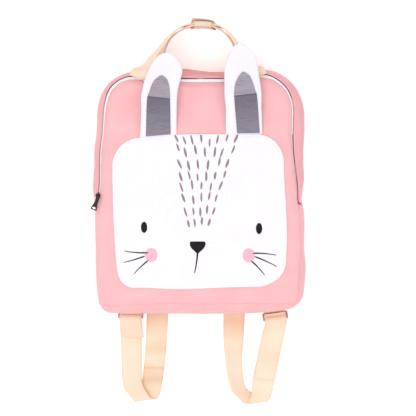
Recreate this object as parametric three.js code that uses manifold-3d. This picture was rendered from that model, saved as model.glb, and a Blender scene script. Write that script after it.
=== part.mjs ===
// A children's canvas backpack with an animal's face, lying on its back with its front up.
// Millimetres, +Z up, top of the bag towards +Y, wearer's straps below the base towards -Y.
// Every sewn piece is a cloth wall of its own, and the bag between them is hollow.

import * as THREE from 'three';
import Module from 'manifold-3d';
import { mergeVertices } from 'three/addons/utils/BufferGeometryUtils.js';

const { degToRad, smoothstep, lerp, clamp } = THREE.MathUtils;

// Cloth, webbing and the clearance at a seam
const canvasWall = 2;
const faceWall = 1.4;
const earWall = 3;
const liningWall = 1;
const tapeWall = 1.2;
const wrapWall = 1.1;
const webWall = 2;
const webWidth = 30;
const seamGap = 0.35;
const edgeGap = 1.1;
const layGap = 0.8;

// The bag as it lies: the gusset's widest run, the back panel and the front panel
const bodyWidth = 299;
const bodyHeight = 346;
const bodyDepth = 64;
const bodyTopRadius = 66;
const bodyBaseRadius = 17;
const backWidth = 280;
const backHeight = 328;
const backTopRadius = 60;
const backBaseRadius = 14;
const panelWidth = 284;
const panelHeight = 311;
const panelTopRadius = 48;
const panelBaseRadius = 12;
const panelDrop = 3;
const panelCrown = 10;
const panelRoll = 5;
const panelRollRun = 9;

// Zip
const zipShow = 5.6;
const zipTuck = 3;
const zipDip = 2;
const zipEndRight = 1.51;
const zipEndLeft = 3.466;
const sliderWidth = 6.4;
const sliderLength = 9;
const sliderHeight = 3;
const bridgeWidth = 2;
const bridgeHeight = 3.6;
const bridgeLength = 6;
const bridgeWall = 1.1;
const pullerLength = 19.5;
const pullerWall = 1.6;
const pullerTopWidth = 5;
const pullerWidth = 9;
const pullerTurn = 20;
const pullerCorner = 2;
const pullerSlot = 1.5;
const sliderTurn = 8;
const sliderSeat = 2.3;
const sliderPast = 0.008;
const sliderOut = 1.6;

// Face panel and ears
const faceWidth = 241;
const faceHeight = 215;
const faceDrop = 28.5;
const faceShift = 1.5;
const faceTilt = 1.4;
const faceSpan = 3;
const faceTopRadius = 40;
const faceBaseRadiusLeft = 20;
const faceBaseRadiusRight = 38;
const earWidth = 50;
const earLength = 127;
const earRidge = 14;
const earDome = 1.5;
const earColumnsAcross = 8;
const earRowsUp = 18;
const creaseRow = 0.45;
const liningStart = 0.005;
const liningGap = 0.6;

// Carry handles and their wrap
const handleSpan = 162;
const handleRise = 81;
const wrapStart = 8 / 17;
const wrapEnd = 10 / 17;
const wrapFlap = 5;
const wrapRoom = 1.5;
const wrapRound = 0.8;
const handleStack = 2.8;
const handleFoot = 4;

// Shoulder straps, their sliders and tabs
const strapSpread = 111;
const strapShift = -4.4;
const tabSpread = 209.2;
const tabShift = 6.2;
const ringBar = 2.4;
const ringLength = 9.5;
const ringOutLeft = 8.5;
const ringOutRight = 10.7;
const ringHeight = 9.75;
const ringTilt = 30;
const ringTurnRight = 7.5;
const tabReachLeft = 4.9;
const tabReachRight = 9.7;
const strapRise = webWall + 2 * seamGap;
const strapTopInset = 2;
const channelRoom = 2;
const channelSlope = 8;
const gussetSlope = 12;
const ringBevel = ringBar * 0.15;

// Shares: of an outline's side that its corner takes, and of a seam's clearance round it
const cornerShare = 0.25;
const seamShare = seamGap / bodyHeight;

const colours = {
  canvas: 0xf8c3c8,
  cloth: 0xfaf6fd,
  lining: 0x9a90a0,
  webbing: 0xf8e6d2,
  tape: 0xfdfbf8,
  darkMetal: 0x2a2226,
  paleMetal: 0xc9bdb9,
};

function table(names, rows) {
  return rows.map((row) => Object.fromEntries(names.map((name, i) => [name, row[i]])));
}

// How far the side edges stand in, as shares of the body's width; height is a share of the
// body's height from the base. The gusset and the front panel have a column for each side.
const sideRows = table(['height', 'gussetLeft', 'gussetRight', 'panelLeft', 'panelRight'], [
  [0.00, 0.026, 0.016, 0.011, 0.007],
  [0.04, 0.026, 0.002, 0.011, 0.007],
  [0.09, 0.018, -0.006, 0.006, 0.007],
  [0.17, 0.010, -0.013, 0.001, 0.004],
  [0.26, 0.008, -0.006, 0.000, -0.002],
  [0.42, 0.002, -0.003, 0.000, 0.004],
  [0.465, 0.000, 0.010, 0.007, 0.015],
  [0.50, -0.006, 0.006, 0.014, 0.016],
  [0.555, -0.004, 0.000, 0.019, 0.022],
  [0.61, 0.000, 0.003, 0.020, 0.031],
  [0.67, 0.002, 0.005, 0.024, 0.040],
  [0.75, 0.013, 0.002, 0.036, 0.043],
  [0.86, 0.014, 0.000, 0.039, 0.034],
  [0.95, 0.008, -0.008, 0.005, 0.005],
  [1.00, 0.013, -0.019, -0.010, -0.019],
]);

// How far the top edge stands down, as shares of the body's height; across runs from -1 at the
// left side to 1 at the right.
const topRows = table(['across', 'gusset', 'panel'], [
  [-1.00, 0.000, 0.000],
  [-0.85, 0.002, -0.004],
  [-0.65, 0.004, -0.014],
  [-0.45, -0.002, -0.008],
  [-0.15, -0.006, 0.000],
  [0.10, 0.007, 0.000],
  [0.25, 0.006, -0.002],
  [0.45, 0.000, -0.012],
  [0.62, -0.004, -0.023],
  [0.80, -0.007, -0.008],
  [1.00, 0.000, 0.000],
]);

// How far the base edge stands up, as shares of the body's height.
const baseRows = table(['across', 'gusset', 'panel'], [
  [-1.00, 0.000, 0.000],
  [-0.85, 0.000, -0.005],
  [-0.50, 0.000, 0.000],
  [-0.30, 0.000, 0.006],
  [0.00, 0.000, 0.002],
  [0.40, 0.001, 0.004],
  [0.68, 0.006, 0.005],
  [0.85, 0.017, 0.003],
  [1.00, 0.020, 0.000],
]);

// Folds of the front panel: both ends as shares of the body's half width and half height, the
// fold's width as a share of the body's width and its height as a share of the panel's crown.
const panelFolds = table(['x1', 'y1', 'x2', 'y2', 'width', 'height'], [
  [0.82, 0.44, 0.90, 0.29, 0.022, -0.25],
  [0.88, -0.09, 0.95, -0.22, 0.030, 0.25],
  [0.90, -0.62, 0.95, -0.80, 0.040, -0.25],
  [0.70, 0.62, 0.84, 0.45, 0.050, 0.20],
  [-0.84, 0.60, -0.90, 0.20, 0.040, 0.18],
  [0.55, -0.84, 0.75, -0.88, 0.040, -0.18],
]);

// Long folds of the gusset: start and end round the outline, place and width across the strip
// as shares of it, and depth as a share of the bag's depth.
const gussetFolds = table(['start', 'end', 'place', 'width', 'depth'], [
  [1.35, 2.25, 0.62, 0.10, -0.050],
  [1.50, 2.10, 0.42, 0.10, 0.030],
  [0.85, 1.45, 0.55, 0.14, -0.045],
  [3.30, 4.00, 0.60, 0.12, -0.030],
  [4.15, 4.90, 0.55, 0.12, 0.025],
]);

// How wide the zip shows between the front panel and the gusset, as a share of zipShow.
const zipRows = table(['around', 'show'], [
  [zipEndRight, 0.30],
  [1.60, 0.30],
  [1.72, 0.45],
  [2.00, 0.55],
  [2.25, 0.80],
  [2.50, 1.00],
  [2.75, 0.80],
  [3.05, 0.75],
  [3.20, 0.65],
  [zipEndLeft, 0.35],
]);

// Face panel: how far each side stands in, as shares of its width, by shares of its height.
const faceRows = table(['height', 'left', 'right'], [
  [0.00, 0.034, 0.030],
  [0.05, 0.026, 0.010],
  [0.12, 0.015, 0.006],
  [0.20, 0.009, 0.004],
  [0.30, 0.005, -0.002],
  [0.45, 0.001, -0.002],
  [0.70, -0.001, 0.005],
  [0.85, 0.002, 0.006],
  [1.00, 0.002, 0.005],
]);

// How far its top edge stands down and its base edge up, as shares of its height; across runs
// from -1 at the left side to 1 at the right.
const faceEdges = table(['across', 'top', 'base'], [
  [-1.00, 0.014, 0.018],
  [-0.63, 0.010, 0.013],
  [-0.35, 0.001, 0.001],
  [-0.10, -0.002, 0.000],
  [0.29, 0.003, 0.003],
  [0.70, 0.006, 0.003],
  [1.00, 0.006, 0.003],
]);

// Ears: place is a share of the face panel's width and up a share of the ear's length; left and
// right are the edges of the ear and of its lining, as shares of its width, and lift is a share
// of its ridge.
const earColumns = ['up', 'left', 'right', 'lift'];
const liningColumns = ['up', 'left', 'right'];
const ears = {
  left: {
    place: -0.2324,
    crease: 0.409,
    top: 0.905,
    rows: table(earColumns, [
      [0.00, -0.50, 0.50, 0.00],
      [0.16, -0.47, 0.50, 0.35],
      [0.33, -0.45, 0.51, 0.80],
      [0.41, -0.46, 0.52, 1.00],
      [0.49, -0.43, 0.54, 0.90],
      [0.60, -0.37, 0.60, 0.62],
      [0.69, -0.29, 0.66, 0.42],
      [0.76, -0.21, 0.63, 0.24],
      [0.82, -0.12, 0.56, 0.10],
      [0.875, 0.00, 0.44, 0.02],
      [0.91, 0.16, 0.30, -0.02],
    ]),
    lining: table(liningColumns, [
      [0.00, -0.34, 0.34],
      [0.41, -0.29, 0.33],
      [0.49, -0.22, 0.32],
      [0.56, -0.16, 0.29],
      [0.61, -0.08, 0.24],
      [0.65, 0.05, 0.14],
    ]),
  },
  right: {
    place: 0.2635,
    crease: 0.415,
    top: 0.99,
    rows: table(earColumns, [
      [0.00, -0.50, 0.50, 0.00],
      [0.14, -0.50, 0.48, 0.35],
      [0.28, -0.50, 0.46, 0.75],
      [0.415, -0.54, 0.46, 1.00],
      [0.51, -0.54, 0.44, 0.80],
      [0.63, -0.54, 0.40, 0.50],
      [0.73, -0.53, 0.36, 0.25],
      [0.83, -0.45, 0.32, 0.02],
      [0.91, -0.36, 0.19, -0.18],
      [0.96, -0.28, 0.08, -0.28],
      [0.99, -0.19, -0.04, -0.34],
    ]),
    lining: table(liningColumns, [
      [0.00, -0.19, 0.43],
      [0.41, -0.28, 0.34],
      [0.47, -0.27, 0.29],
      [0.52, -0.26, 0.26],
      [0.58, -0.21, 0.20],
      [0.63, -0.14, 0.14],
      [0.67, -0.06, 0.01],
    ]),
  },
};

// Handles: across is a share of handleSpan, rise a share of handleRise, height a share of the
// bag's depth, and lean the webbing's turn in degrees, from 0, flat, to 90, on edge.
const handleColumns = ['across', 'rise', 'height', 'lean'];
const frontHandleRows = table(handleColumns, [
  [-0.51, 0.01, 1.043, 0],
  [-0.495, 0.085, 1.11, 28],
  [-0.45, 0.20, 1.05, 56],
  [-0.399, 0.39, 0.985, 73],
  [-0.34, 0.55, 0.905, 78],
  [-0.30, 0.66, 0.82, 79],
  [-0.25, 0.785, 0.745, 80],
  [-0.155, 0.945, 0.64, 84],
  [-0.059, 1.00, 0.555, 87],
  [0.035, 1.01, 0.55, 87],
  [0.134, 0.985, 0.555, 87],
  [0.213, 0.93, 0.64, 84],
  [0.287, 0.785, 0.73, 80],
  [0.345, 0.60, 0.83, 78],
  [0.390, 0.40, 0.93, 72],
  [0.430, 0.205, 1.03, 56],
  [0.485, 0.11, 1.11, 28],
  [0.495, 0.05, 1.02, 0],
]);
const backHandleRows = table(handleColumns, [
  [-0.36, 0.15, 0.022, 0],
  [-0.358, 0.25, 0.040, 4],
  [-0.352, 0.33, 0.110, 20],
  [-0.342, 0.41, 0.19, 44],
  [-0.33, 0.48, 0.25, 62],
  [-0.314, 0.555, 0.31, 74],
  [-0.293, 0.648, 0.37, 78],
  [-0.248, 0.775, 0.43, 80],
  [-0.146, 0.914, 0.49, 84],
  [-0.0563, 0.9695, 0.551, 87],
  [0.0345, 0.980, 0.550, 87],
  [0.1295, 0.953, 0.553, 87],
  [0.200, 0.897, 0.49, 84],
  [0.277, 0.765, 0.43, 80],
  [0.334, 0.59, 0.36, 76],
  [0.350, 0.49, 0.27, 64],
  [0.357, 0.41, 0.195, 44],
  [0.360, 0.33, 0.110, 20],
  [0.362, 0.25, 0.040, 4],
  [0.362, 0.137, 0.022, 0],
]);

// Straps below the base: both edges and their height, all as shares of the webbing's width,
// from the strap's middle line under the bag and down from the base edge.
const strapColumns = ['leftX', 'leftY', 'rightX', 'rightY', 'leftLift', 'rightLift'];
const strapRows = {
  left: table(strapColumns, [
    [-0.50, -0.60, 0.50, -0.60, 0.045, 0.045],
    [-0.50, 0.00, 0.50, 0.00, 0.045, 0.045],
    [-0.54, 1.30, 0.44, 1.30, 0.045, 0.045],
    [-0.60, 2.27, 0.36, 2.27, 0.06, 0.06],
    [-0.64, 2.70, 0.31, 2.70, 0.12, 0.12],
    [-0.70, 3.24, 0.25, 3.24, 0.06, 0.06],
    [-0.78, 3.60, 0.20, 3.56, 0.045, 0.045],
    [-0.90, 3.96, 0.12, 3.90, 0.05, 0.05],
    [-1.05, 4.33, 0.02, 4.17, 0.18, 0.18],
    [-1.28, 4.10, -0.27, 4.18, 0.30, 0.32],
    [-1.53, 3.79, -0.52, 3.89, 0.30, 0.32],
    [-1.63, 3.52, -0.70, 3.57, 0.27, 0.29],
    [-1.68, 3.19, -0.78, 3.21, 0.22, 0.24],
    [-1.72, 2.37, -0.78, 2.37, 0.10, 0.10],
    [-1.76, 1.40, -0.77, 1.40, 0.05, 0.05],
    [-1.79, 0.72, -0.78, 0.72, 0.09, 0.09],
    [-1.79, 0.46, -0.79, 0.46, 0.20, 0.20],
    [-1.79, 0.28, -0.79, 0.28, 0.215, 0.215],
    [-1.79, 0.17, -0.79, 0.17, 0.325, 0.325],
    [-1.79, 0.28, -0.79, 0.28, 0.435, 0.435],
    [-1.79, 0.46, -0.79, 0.46, 0.42, 0.42],
    [-1.75, 0.75, -0.75, 0.77, 0.27, 0.27],
    [-1.69, 1.16, -0.68, 1.26, 0.155, 0.155],
  ]),
  right: table(strapColumns, [
    [-0.50, -0.60, 0.50, -0.60, 0.045, 0.045],
    [-0.50, 0.00, 0.50, 0.00, 0.045, 0.045],
    [-0.50, 1.30, 0.44, 1.30, 0.12, 0.045],
    [-0.42, 2.27, 0.37, 2.27, 0.40, 0.05],
    [-0.29, 3.24, 0.43, 3.24, 0.50, 0.05],
    [-0.09, 3.82, 0.56, 3.70, 0.52, 0.05],
    [0.22, 4.16, 0.84, 3.95, 0.45, 0.05],
    [0.46, 4.38, 1.26, 4.13, 0.30, 0.06],
    [0.64, 4.44, 1.55, 4.33, 0.22, 0.20],
    [0.74, 4.22, 1.69, 4.21, 0.32, 0.32],
    [0.86, 3.93, 1.79, 3.93, 0.32, 0.32],
    [0.90, 3.33, 1.92, 3.37, 0.24, 0.24],
    [1.12, 2.27, 2.14, 2.31, 0.10, 0.10],
    [1.31, 1.37, 2.33, 1.42, 0.05, 0.05],
    [1.43, 0.88, 2.45, 0.80, 0.09, 0.09],
    [1.50, 0.613, 2.50, 0.483, 0.20, 0.20],
    [1.485, 0.433, 2.485, 0.303, 0.215, 0.215],
    [1.48, 0.323, 2.48, 0.193, 0.325, 0.325],
    [1.485, 0.433, 2.485, 0.303, 0.435, 0.435],
    [1.50, 0.613, 2.50, 0.483, 0.42, 0.42],
    [1.43, 0.90, 2.45, 0.83, 0.26, 0.26],
    [1.31, 1.39, 2.33, 1.44, 0.17, 0.17],
    [1.12, 2.28, 2.14, 2.32, 0.21, 0.21],
    [0.96, 3.18, 1.95, 3.27, 0.335, 0.335],
  ]),
};

// Reads a column of a table between its rows, on a smooth curve through them.
function valueAt(rows, key, column, at) {
  const last = rows.length - 1;
  if (at <= rows[0][key]) return rows[0][column];
  if (at >= rows[last][key]) return rows[last][column];
  const i = rows.findIndex((row) => row[key] > at) - 1;
  const slope = (a, b) => (rows[b][column] - rows[a][column]) / (rows[b][key] - rows[a][key]);
  const span = rows[i + 1][key] - rows[i][key];
  const t = (at - rows[i][key]) / span;
  const startSlope = slope(Math.max(i - 1, 0), i + 1) * span;
  const endSlope = slope(i, Math.min(i + 2, last)) * span;
  const rest = rows[i + 1][column] - rows[i][column];
  const bend = (startSlope + endSlope - 2 * rest) * t + (3 * rest - 2 * startSlope - endSlope);
  return rows[i][column] + startSlope * t + bend * t * t;
}

// A cloth wall: surface(u, v) gives its outer side, and the wall lies behind that side, or on
// both sides of it by the share lead. The front faces the way that u crossed with v points.
function clothWall(surface, columns, rows, wall, lead = 0) {
  const geometry = new THREE.BoxGeometry(1, 1, 1, columns, rows, 1);
  geometry.deleteAttribute('normal');
  geometry.deleteAttribute('uv');
  const merged = mergeVertices(geometry);
  const position = merged.attributes.position;
  const step = 1e-3;
  for (let i = 0; i < position.count; i += 1) {
    const u = position.getX(i) + 0.5;
    const v = position.getY(i) + 0.5;
    const point = surface(u, v);
    const offset = position.getZ(i) < 0 ? (lead - 1) * wall : lead * wall;
    if (offset !== 0) {
      const along = surface(Math.min(u + step, 1), v).sub(surface(Math.max(u - step, 0), v));
      const across = surface(u, Math.min(v + step, 1)).sub(surface(u, Math.max(v - step, 0)));
      point.addScaledVector(along.cross(across).normalize(), offset);
    }
    position.setXYZ(i, point.x, point.y, point.z);
  }
  return merged;
}

// A closed outline: a rectangle with round corners. around runs from 0 to 4: along the base to
// the right, up the right side, along the top to the left and down the left side, each from the
// middle of one corner to the middle of the next. Its radii are those of the corners at the
// base, left and right, and at the top, right and left.
function outlinePoint(outline, around, grow = 0) {
  const side = Math.floor(around) % 4;
  const share = around - Math.floor(around);
  const halfWidth = outline.width / 2 + grow;
  const halfHeight = outline.height / 2 + grow;
  const corners = [[-1, -1], [1, -1], [1, 1], [-1, 1]];
  const cornerCentre = (index) => {
    const [signX, signY] = corners[index % 4];
    const radius = outline.radii[index % 4] + grow;
    const x = outline.x + signX * (halfWidth - radius);
    const y = outline.y + signY * (halfHeight - radius);
    return { x, y, radius };
  };
  const facing = (side - 1) * 90;
  const onArc = (corner, degrees) => {
    const x = corner.x + corner.radius * Math.cos(degToRad(degrees));
    const y = corner.y + corner.radius * Math.sin(degToRad(degrees));
    return new THREE.Vector2(x, y);
  };
  const start = cornerCentre(side);
  const end = cornerCentre(side + 1);
  if (share < cornerShare) return onArc(start, facing - 45 + 45 * share / cornerShare);
  if (share > 1 - cornerShare) return onArc(end, facing + 45 - 45 * (1 - share) / cornerShare);
  const straight = (share - cornerShare) / (1 - 2 * cornerShare);
  return onArc(start, facing).lerp(onArc(end, facing), straight);
}

const bodyOutline = {
  x: 0,
  y: 0,
  width: bodyWidth,
  height: bodyHeight,
  radii: [bodyBaseRadius, bodyBaseRadius, bodyTopRadius, bodyTopRadius],
};
const backOutline = {
  x: 0,
  y: 0,
  width: backWidth,
  height: backHeight,
  radii: [backBaseRadius, backBaseRadius, backTopRadius, backTopRadius],
};
const panelOutline = {
  x: 0,
  y: -panelDrop,
  width: panelWidth,
  height: panelHeight,
  radii: [panelBaseRadius, panelBaseRadius, panelTopRadius, panelTopRadius],
};
const faceOutline = {
  x: faceShift,
  y: -faceDrop,
  width: faceWidth,
  height: faceHeight,
  radii: [faceBaseRadiusLeft, faceBaseRadiusRight, faceTopRadius, faceTopRadius],
};

// Moves a point of the plain outline to where the lying cloth has it.
function settle(point, part) {
  const across = point.x / (bodyWidth / 2);
  const up = point.y / (bodyHeight / 2);
  const side = part + (across < 0 ? 'Left' : 'Right');
  const inward = valueAt(sideRows, 'height', side, (up + 1) / 2);
  const edgeRows = up < 0 ? baseRows : topRows;
  const pull = valueAt(edgeRows, 'across', part, across);
  const x = point.x - Math.sign(across) * inward * bodyWidth * across * across;
  const y = point.y - Math.sign(up) * pull * bodyHeight * up * up;
  return new THREE.Vector2(x, y);
}

// Distance from a point to the front panel's edge, positive inside.
function insidePanel(x, y) {
  const radius = y > panelOutline.y ? panelTopRadius : panelBaseRadius;
  const dx = Math.abs(x - panelOutline.x) - panelWidth / 2 + radius;
  const dy = Math.abs(y - panelOutline.y) - panelHeight / 2 + radius;
  const outside = Math.hypot(Math.max(dx, 0), Math.max(dy, 0));
  return radius - outside - Math.min(Math.max(dx, dy), 0);
}

function foldHeight(x, y) {
  const point = new THREE.Vector3(x, y, 0);
  return panelFolds.reduce((height, fold) => {
    const start = new THREE.Vector3(fold.x1 * bodyWidth / 2, fold.y1 * bodyHeight / 2, 0);
    const end = new THREE.Vector3(fold.x2 * bodyWidth / 2, fold.y2 * bodyHeight / 2, 0);
    const ridge = new THREE.Line3(start, end);
    const nearest = ridge.closestPointToPoint(point, true, new THREE.Vector3());
    const away = nearest.distanceTo(point) / (fold.width * bodyWidth);
    return height + fold.height * panelCrown * Math.exp(-away * away);
  }, 0);
}

// Height of the front panel's outer side over the floor, at a point of the plain outline.
function frontHeight(x, y) {
  const across = clamp(Math.abs(x - panelOutline.x) / (panelWidth / 2), 0, 1);
  const up = clamp(Math.abs(y - panelOutline.y) / (panelHeight / 2), 0, 1);
  const crown = panelCrown * (1 - across ** 2.5) * (1 - up ** 3);
  const inside = clamp(insidePanel(x, y) / panelRollRun, 0, 1);
  const roll = panelRoll * Math.sin(inside * Math.PI / 2);
  return bodyDepth + roll + crown + foldHeight(x, y) * inside;
}

// A point inside an outline: the unit square's rings become the outline, drawn in.
// Rings lie closer together towards the edge.
function patchPoint(outline, u, v) {
  const a = 2 * u - 1;
  const b = 2 * v - 1;
  const ring = Math.max(Math.abs(a), Math.abs(b));
  if (ring < 1e-9) return new THREE.Vector2(outline.x, outline.y);
  let around;
  if (b === -ring) around = (a / ring + 1) / 2;
  else if (a === ring) around = 1 + (b / ring + 1) / 2;
  else if (b === ring) around = 2 + (1 - a / ring) / 2;
  else around = 3 + (1 - b / ring) / 2;
  const drawn = 1 - (1 - ring) ** 1.5;
  const centre = new THREE.Vector2(outline.x, outline.y);
  return centre.lerp(outlinePoint(outline, around % 4), drawn);
}

function frontPanelGeometry() {
  const surface = (u, v) => {
    const plain = patchPoint(panelOutline, u, v);
    const lying = settle(plain, 'panel');
    return new THREE.Vector3(lying.x, lying.y, frontHeight(plain.x, plain.y));
  };
  return clothWall(surface, 18, 18, canvasWall);
}

// Height of the front where the cloth really lies: settle is undone in a few short steps.
function lyingHeight(x, y) {
  const plain = new THREE.Vector2(x, y);
  for (let round = 0; round < 3; round += 1) {
    const lying = settle(plain, 'panel');
    plain.x += x - lying.x;
    plain.y += y - lying.y;
  }
  return frontHeight(plain.x, plain.y);
}

function facePoint(plain) {
  const height = (plain.y - faceOutline.y) / faceHeight + 0.5;
  const across = (plain.x - faceOutline.x) / (faceWidth / 2);
  const up = 2 * height - 1;
  const inward = valueAt(faceRows, 'height', across < 0 ? 'left' : 'right', height);
  const pull = valueAt(faceEdges, 'across', up < 0 ? 'base' : 'top', across);
  const x = plain.x - inward * faceWidth * across * Math.abs(across);
  const y = plain.y - pull * faceHeight * up * Math.abs(up);
  const point = new THREE.Vector2(x, y);
  return point.rotateAround(new THREE.Vector2(faceOutline.x, faceOutline.y), degToRad(faceTilt));
}

// The face panel's double cloth spans the narrow dents below it.
function facePanelGeometry() {
  const surface = (u, v) => {
    const lying = facePoint(patchPoint(faceOutline, u, v));
    const steps = [-faceSpan, 0, faceSpan];
    const heights = steps.flatMap((dx) => steps.map((dy) => lyingHeight(lying.x + dx, lying.y + dy)));
    return new THREE.Vector3(lying.x, lying.y, Math.max(...heights) + layGap + faceWall);
  };
  return clothWall(surface, 16, 16, faceWall);
}

// How far the cloth beside a strap is lifted by it.
function strapLift(x) {
  const flat = webWidth / 2 + gussetSlope;
  const away = strapLines().map((line) => Math.abs(x - line));
  const nearest = Math.min(...away);
  return strapRise * (1 - smoothstep(nearest, flat, flat + gussetSlope));
}

function strapLines() {
  return [strapShift - strapSpread / 2, strapShift + strapSpread / 2];
}

// A gusset's outer side: from the back panel's edge, out to the body's widest run and in to
// the front panel's edge or, beside the zip, to the tape.
function gussetPoint(around, across, besideZip) {
  const backGrow = canvasWall + edgeGap;
  const back = settle(outlinePoint(backOutline, around, backGrow), 'gusset');
  const widest = settle(outlinePoint(bodyOutline, around), 'gusset');
  const zipGrow = valueAt(zipRows, 'around', 'show', around) * zipShow + canvasWall + seamGap;
  const front = settle(outlinePoint(panelOutline, around, besideZip ? zipGrow : 0), 'panel');
  const middle = back.clone().lerp(front, 0.5);
  const bulge = (4 * across * (1 - across)) ** 0.8;
  const fold = gussetFolds.reduce((sum, row) => {
    const place = around < row.start ? around + 4 : around;
    const along = (place - row.start) / (row.end - row.start);
    if (along < 0 || along > 1) return sum;
    const away = (across - row.place) / row.width;
    return sum + row.depth * bodyDepth * Math.sin(along * Math.PI) * Math.exp(-away * away);
  }, 0);
  const outward = widest.clone().sub(middle);
  const plan = back.lerp(front, across).addScaledVector(outward, bulge);
  plan.addScaledVector(outward.normalize(), fold);
  const low = strapLift(plan.x) + seamGap;
  const high = besideZip ? bodyDepth : bodyDepth - canvasWall - seamGap;
  return new THREE.Vector3(plan.x, plan.y, lerp(low, high, across));
}

function gussetGeometry(start, end, columns, besideZip) {
  const surface = (u, v) => gussetPoint(lerp(start, end, u) % 4, v, besideZip);
  return clothWall(surface, columns, 5, canvasWall);
}

// The tape's edges lie under the front panel and beside the gusset.
function zipTapeGeometry() {
  const surface = (u, v) => {
    const around = lerp(zipEndRight + seamShare, zipEndLeft - seamShare, u);
    const show = valueAt(zipRows, 'around', 'show', around) * zipShow;
    const plan = settle(outlinePoint(panelOutline, around, lerp(show - seamGap, -zipTuck, v)), 'panel');
    return new THREE.Vector3(plan.x, plan.y, bodyDepth - zipDip - seamGap);
  };
  return clothWall(surface, 44, 1, tapeWall);
}

const wasm = await Module();
wasm.setup();

function toSolid(geometry) {
  const plain = geometry.clone();
  plain.deleteAttribute('normal');
  plain.deleteAttribute('uv');
  const merged = mergeVertices(plain, 1e-4);
  const vertProperties = new Float32Array(merged.attributes.position.array);
  const triVerts = new Uint32Array(merged.index.array);
  return new wasm.Manifold(new wasm.Mesh({ numProp: 3, vertProperties, triVerts }));
}

function toGeometry(solid) {
  const mesh = solid.getMesh();
  const geometry = new THREE.BufferGeometry();
  geometry.setAttribute('position', new THREE.BufferAttribute(new Float32Array(mesh.vertProperties), 3));
  geometry.setIndex(new THREE.BufferAttribute(new Uint32Array(mesh.triVerts), 1));
  return geometry;
}

// The back panel: a flat sheet with a shallow channel over each strap, cut to its outline.
function backPanelGeometry() {
  const halfChannel = webWidth / 2 + channelRoom;
  const edge = bodyWidth;
  const lowSide = [[-edge, 0]];
  strapLines().forEach((line) => {
    lowSide.push([line - halfChannel - channelSlope, 0], [line - halfChannel, strapRise]);
    lowSide.push([line + halfChannel, strapRise], [line + halfChannel + channelSlope, 0]);
  });
  lowSide.push([edge, 0]);
  const highSide = lowSide.map(([x, z]) => [x, z + canvasWall]).reverse();
  const section = new THREE.Shape(lowSide.concat(highSide).map(([x, z]) => new THREE.Vector2(x, z)));
  const sheet = new THREE.ExtrudeGeometry(section, { depth: 2 * bodyHeight, bevelEnabled: false });
  sheet.rotateX(Math.PI / 2);
  sheet.translate(0, bodyHeight, 0);
  const outline = [];
  for (let i = 0; i < 64; i += 1) {
    outline.push(settle(outlinePoint(backOutline, i / 16), 'gusset'));
  }
  const cut = new THREE.Shape(outline);
  const prism = new THREE.ExtrudeGeometry(cut, { depth: 2 * bodyDepth, bevelEnabled: false });
  prism.translate(0, 0, -bodyDepth);
  return toGeometry(toSolid(sheet).intersect(toSolid(prism)));
}

// The face panel's top edge at x, where the ears are sewn in.
function faceTop(x) {
  const across = (x - faceOutline.x) / (faceWidth / 2);
  const pull = valueAt(faceEdges, 'across', 'top', across) * faceHeight;
  return faceOutline.y + faceHeight / 2 - pull + (x - faceOutline.x) * Math.tan(degToRad(faceTilt));
}

// An ear's upper side, by the share of its length and the share between its edges.
function earPoint(ear, up, edge) {
  const left = valueAt(ear.rows, 'up', 'left', up);
  const right = valueAt(ear.rows, 'up', 'right', up);
  const lift = valueAt(ear.rows, 'up', 'lift', up);
  const across = lerp(left, right, edge);
  const dome = earDome * Math.sin(Math.PI * clamp(edge, 0, 1));
  const middle = ear.place * faceWidth;
  const x = middle + across * earWidth;
  const y = faceTop(x) * (1 - up) + (faceTop(middle) + seamGap) * up + seamGap + up * earLength;
  const foot = lyingHeight(middle, faceTop(middle)) + edgeGap + earWall;
  return new THREE.Vector3(x, y, foot + lift * earRidge + dome);
}

function earGeometry(ear) {
  const surface = (u, v) => {
    const past = (v - creaseRow) / (1 - creaseRow);
    const up = past < 0 ? ear.crease * v / creaseRow : lerp(ear.crease, ear.top, past);
    return earPoint(ear, up, u);
  };
  return clothWall(surface, earColumnsAcross, earRowsUp, earWall);
}

function liningGeometry(ear) {
  const top = ear.lining[ear.lining.length - 1].up;
  const surface = (u, v) => {
    const up = lerp(liningStart, top, v);
    const left = valueAt(ear.lining, 'up', 'left', up);
    const right = valueAt(ear.lining, 'up', 'right', up);
    const earLeft = valueAt(ear.rows, 'up', 'left', up);
    const earRight = valueAt(ear.rows, 'up', 'right', up);
    const edge = (lerp(left, right, u) - earLeft) / (earRight - earLeft);
    const point = earPoint(ear, up, edge);
    point.z += liningGap + liningWall;
    return point;
  };
  return clothWall(surface, 4, 14, liningWall);
}

// A handle's middle line and the way its webbing is turned, as functions of 0 to 1.
function handleRibbon(rows) {
  const footHeight = panelOutline.y + panelHeight / 2 + seamGap;
  const points = rows.map((row) => {
    const x = row.across * handleSpan;
    const y = footHeight + handleFoot + row.rise * handleRise;
    return new THREE.Vector3(x, y, row.height * bodyDepth);
  });
  const curve = new THREE.CatmullRomCurve3(points, false, 'centripetal');
  const numbered = rows.map((row, i) => ({ at: i / (rows.length - 1), lean: row.lean }));
  const frame = (t) => {
    const along = curve.getTangent(t);
    const level = new THREE.Vector3(along.y, -along.x, 0).normalize();
    const lean = degToRad(valueAt(numbered, 'at', 'lean', t));
    const width = level.multiplyScalar(Math.cos(lean));
    width.z += Math.sin(lean);
    width.addScaledVector(along, -width.dot(along)).normalize();
    return { centre: curve.getPoint(t), along, width };
  };
  return frame;
}

function handleGeometry(rows) {
  const frame = handleRibbon(rows);
  const surface = (u, v) => {
    const { centre, width } = frame(u);
    return centre.addScaledVector(width, (v - 0.5) * webWidth);
  };
  return clothWall(surface, 54, 2, webWall, 0.5);
}

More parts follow.
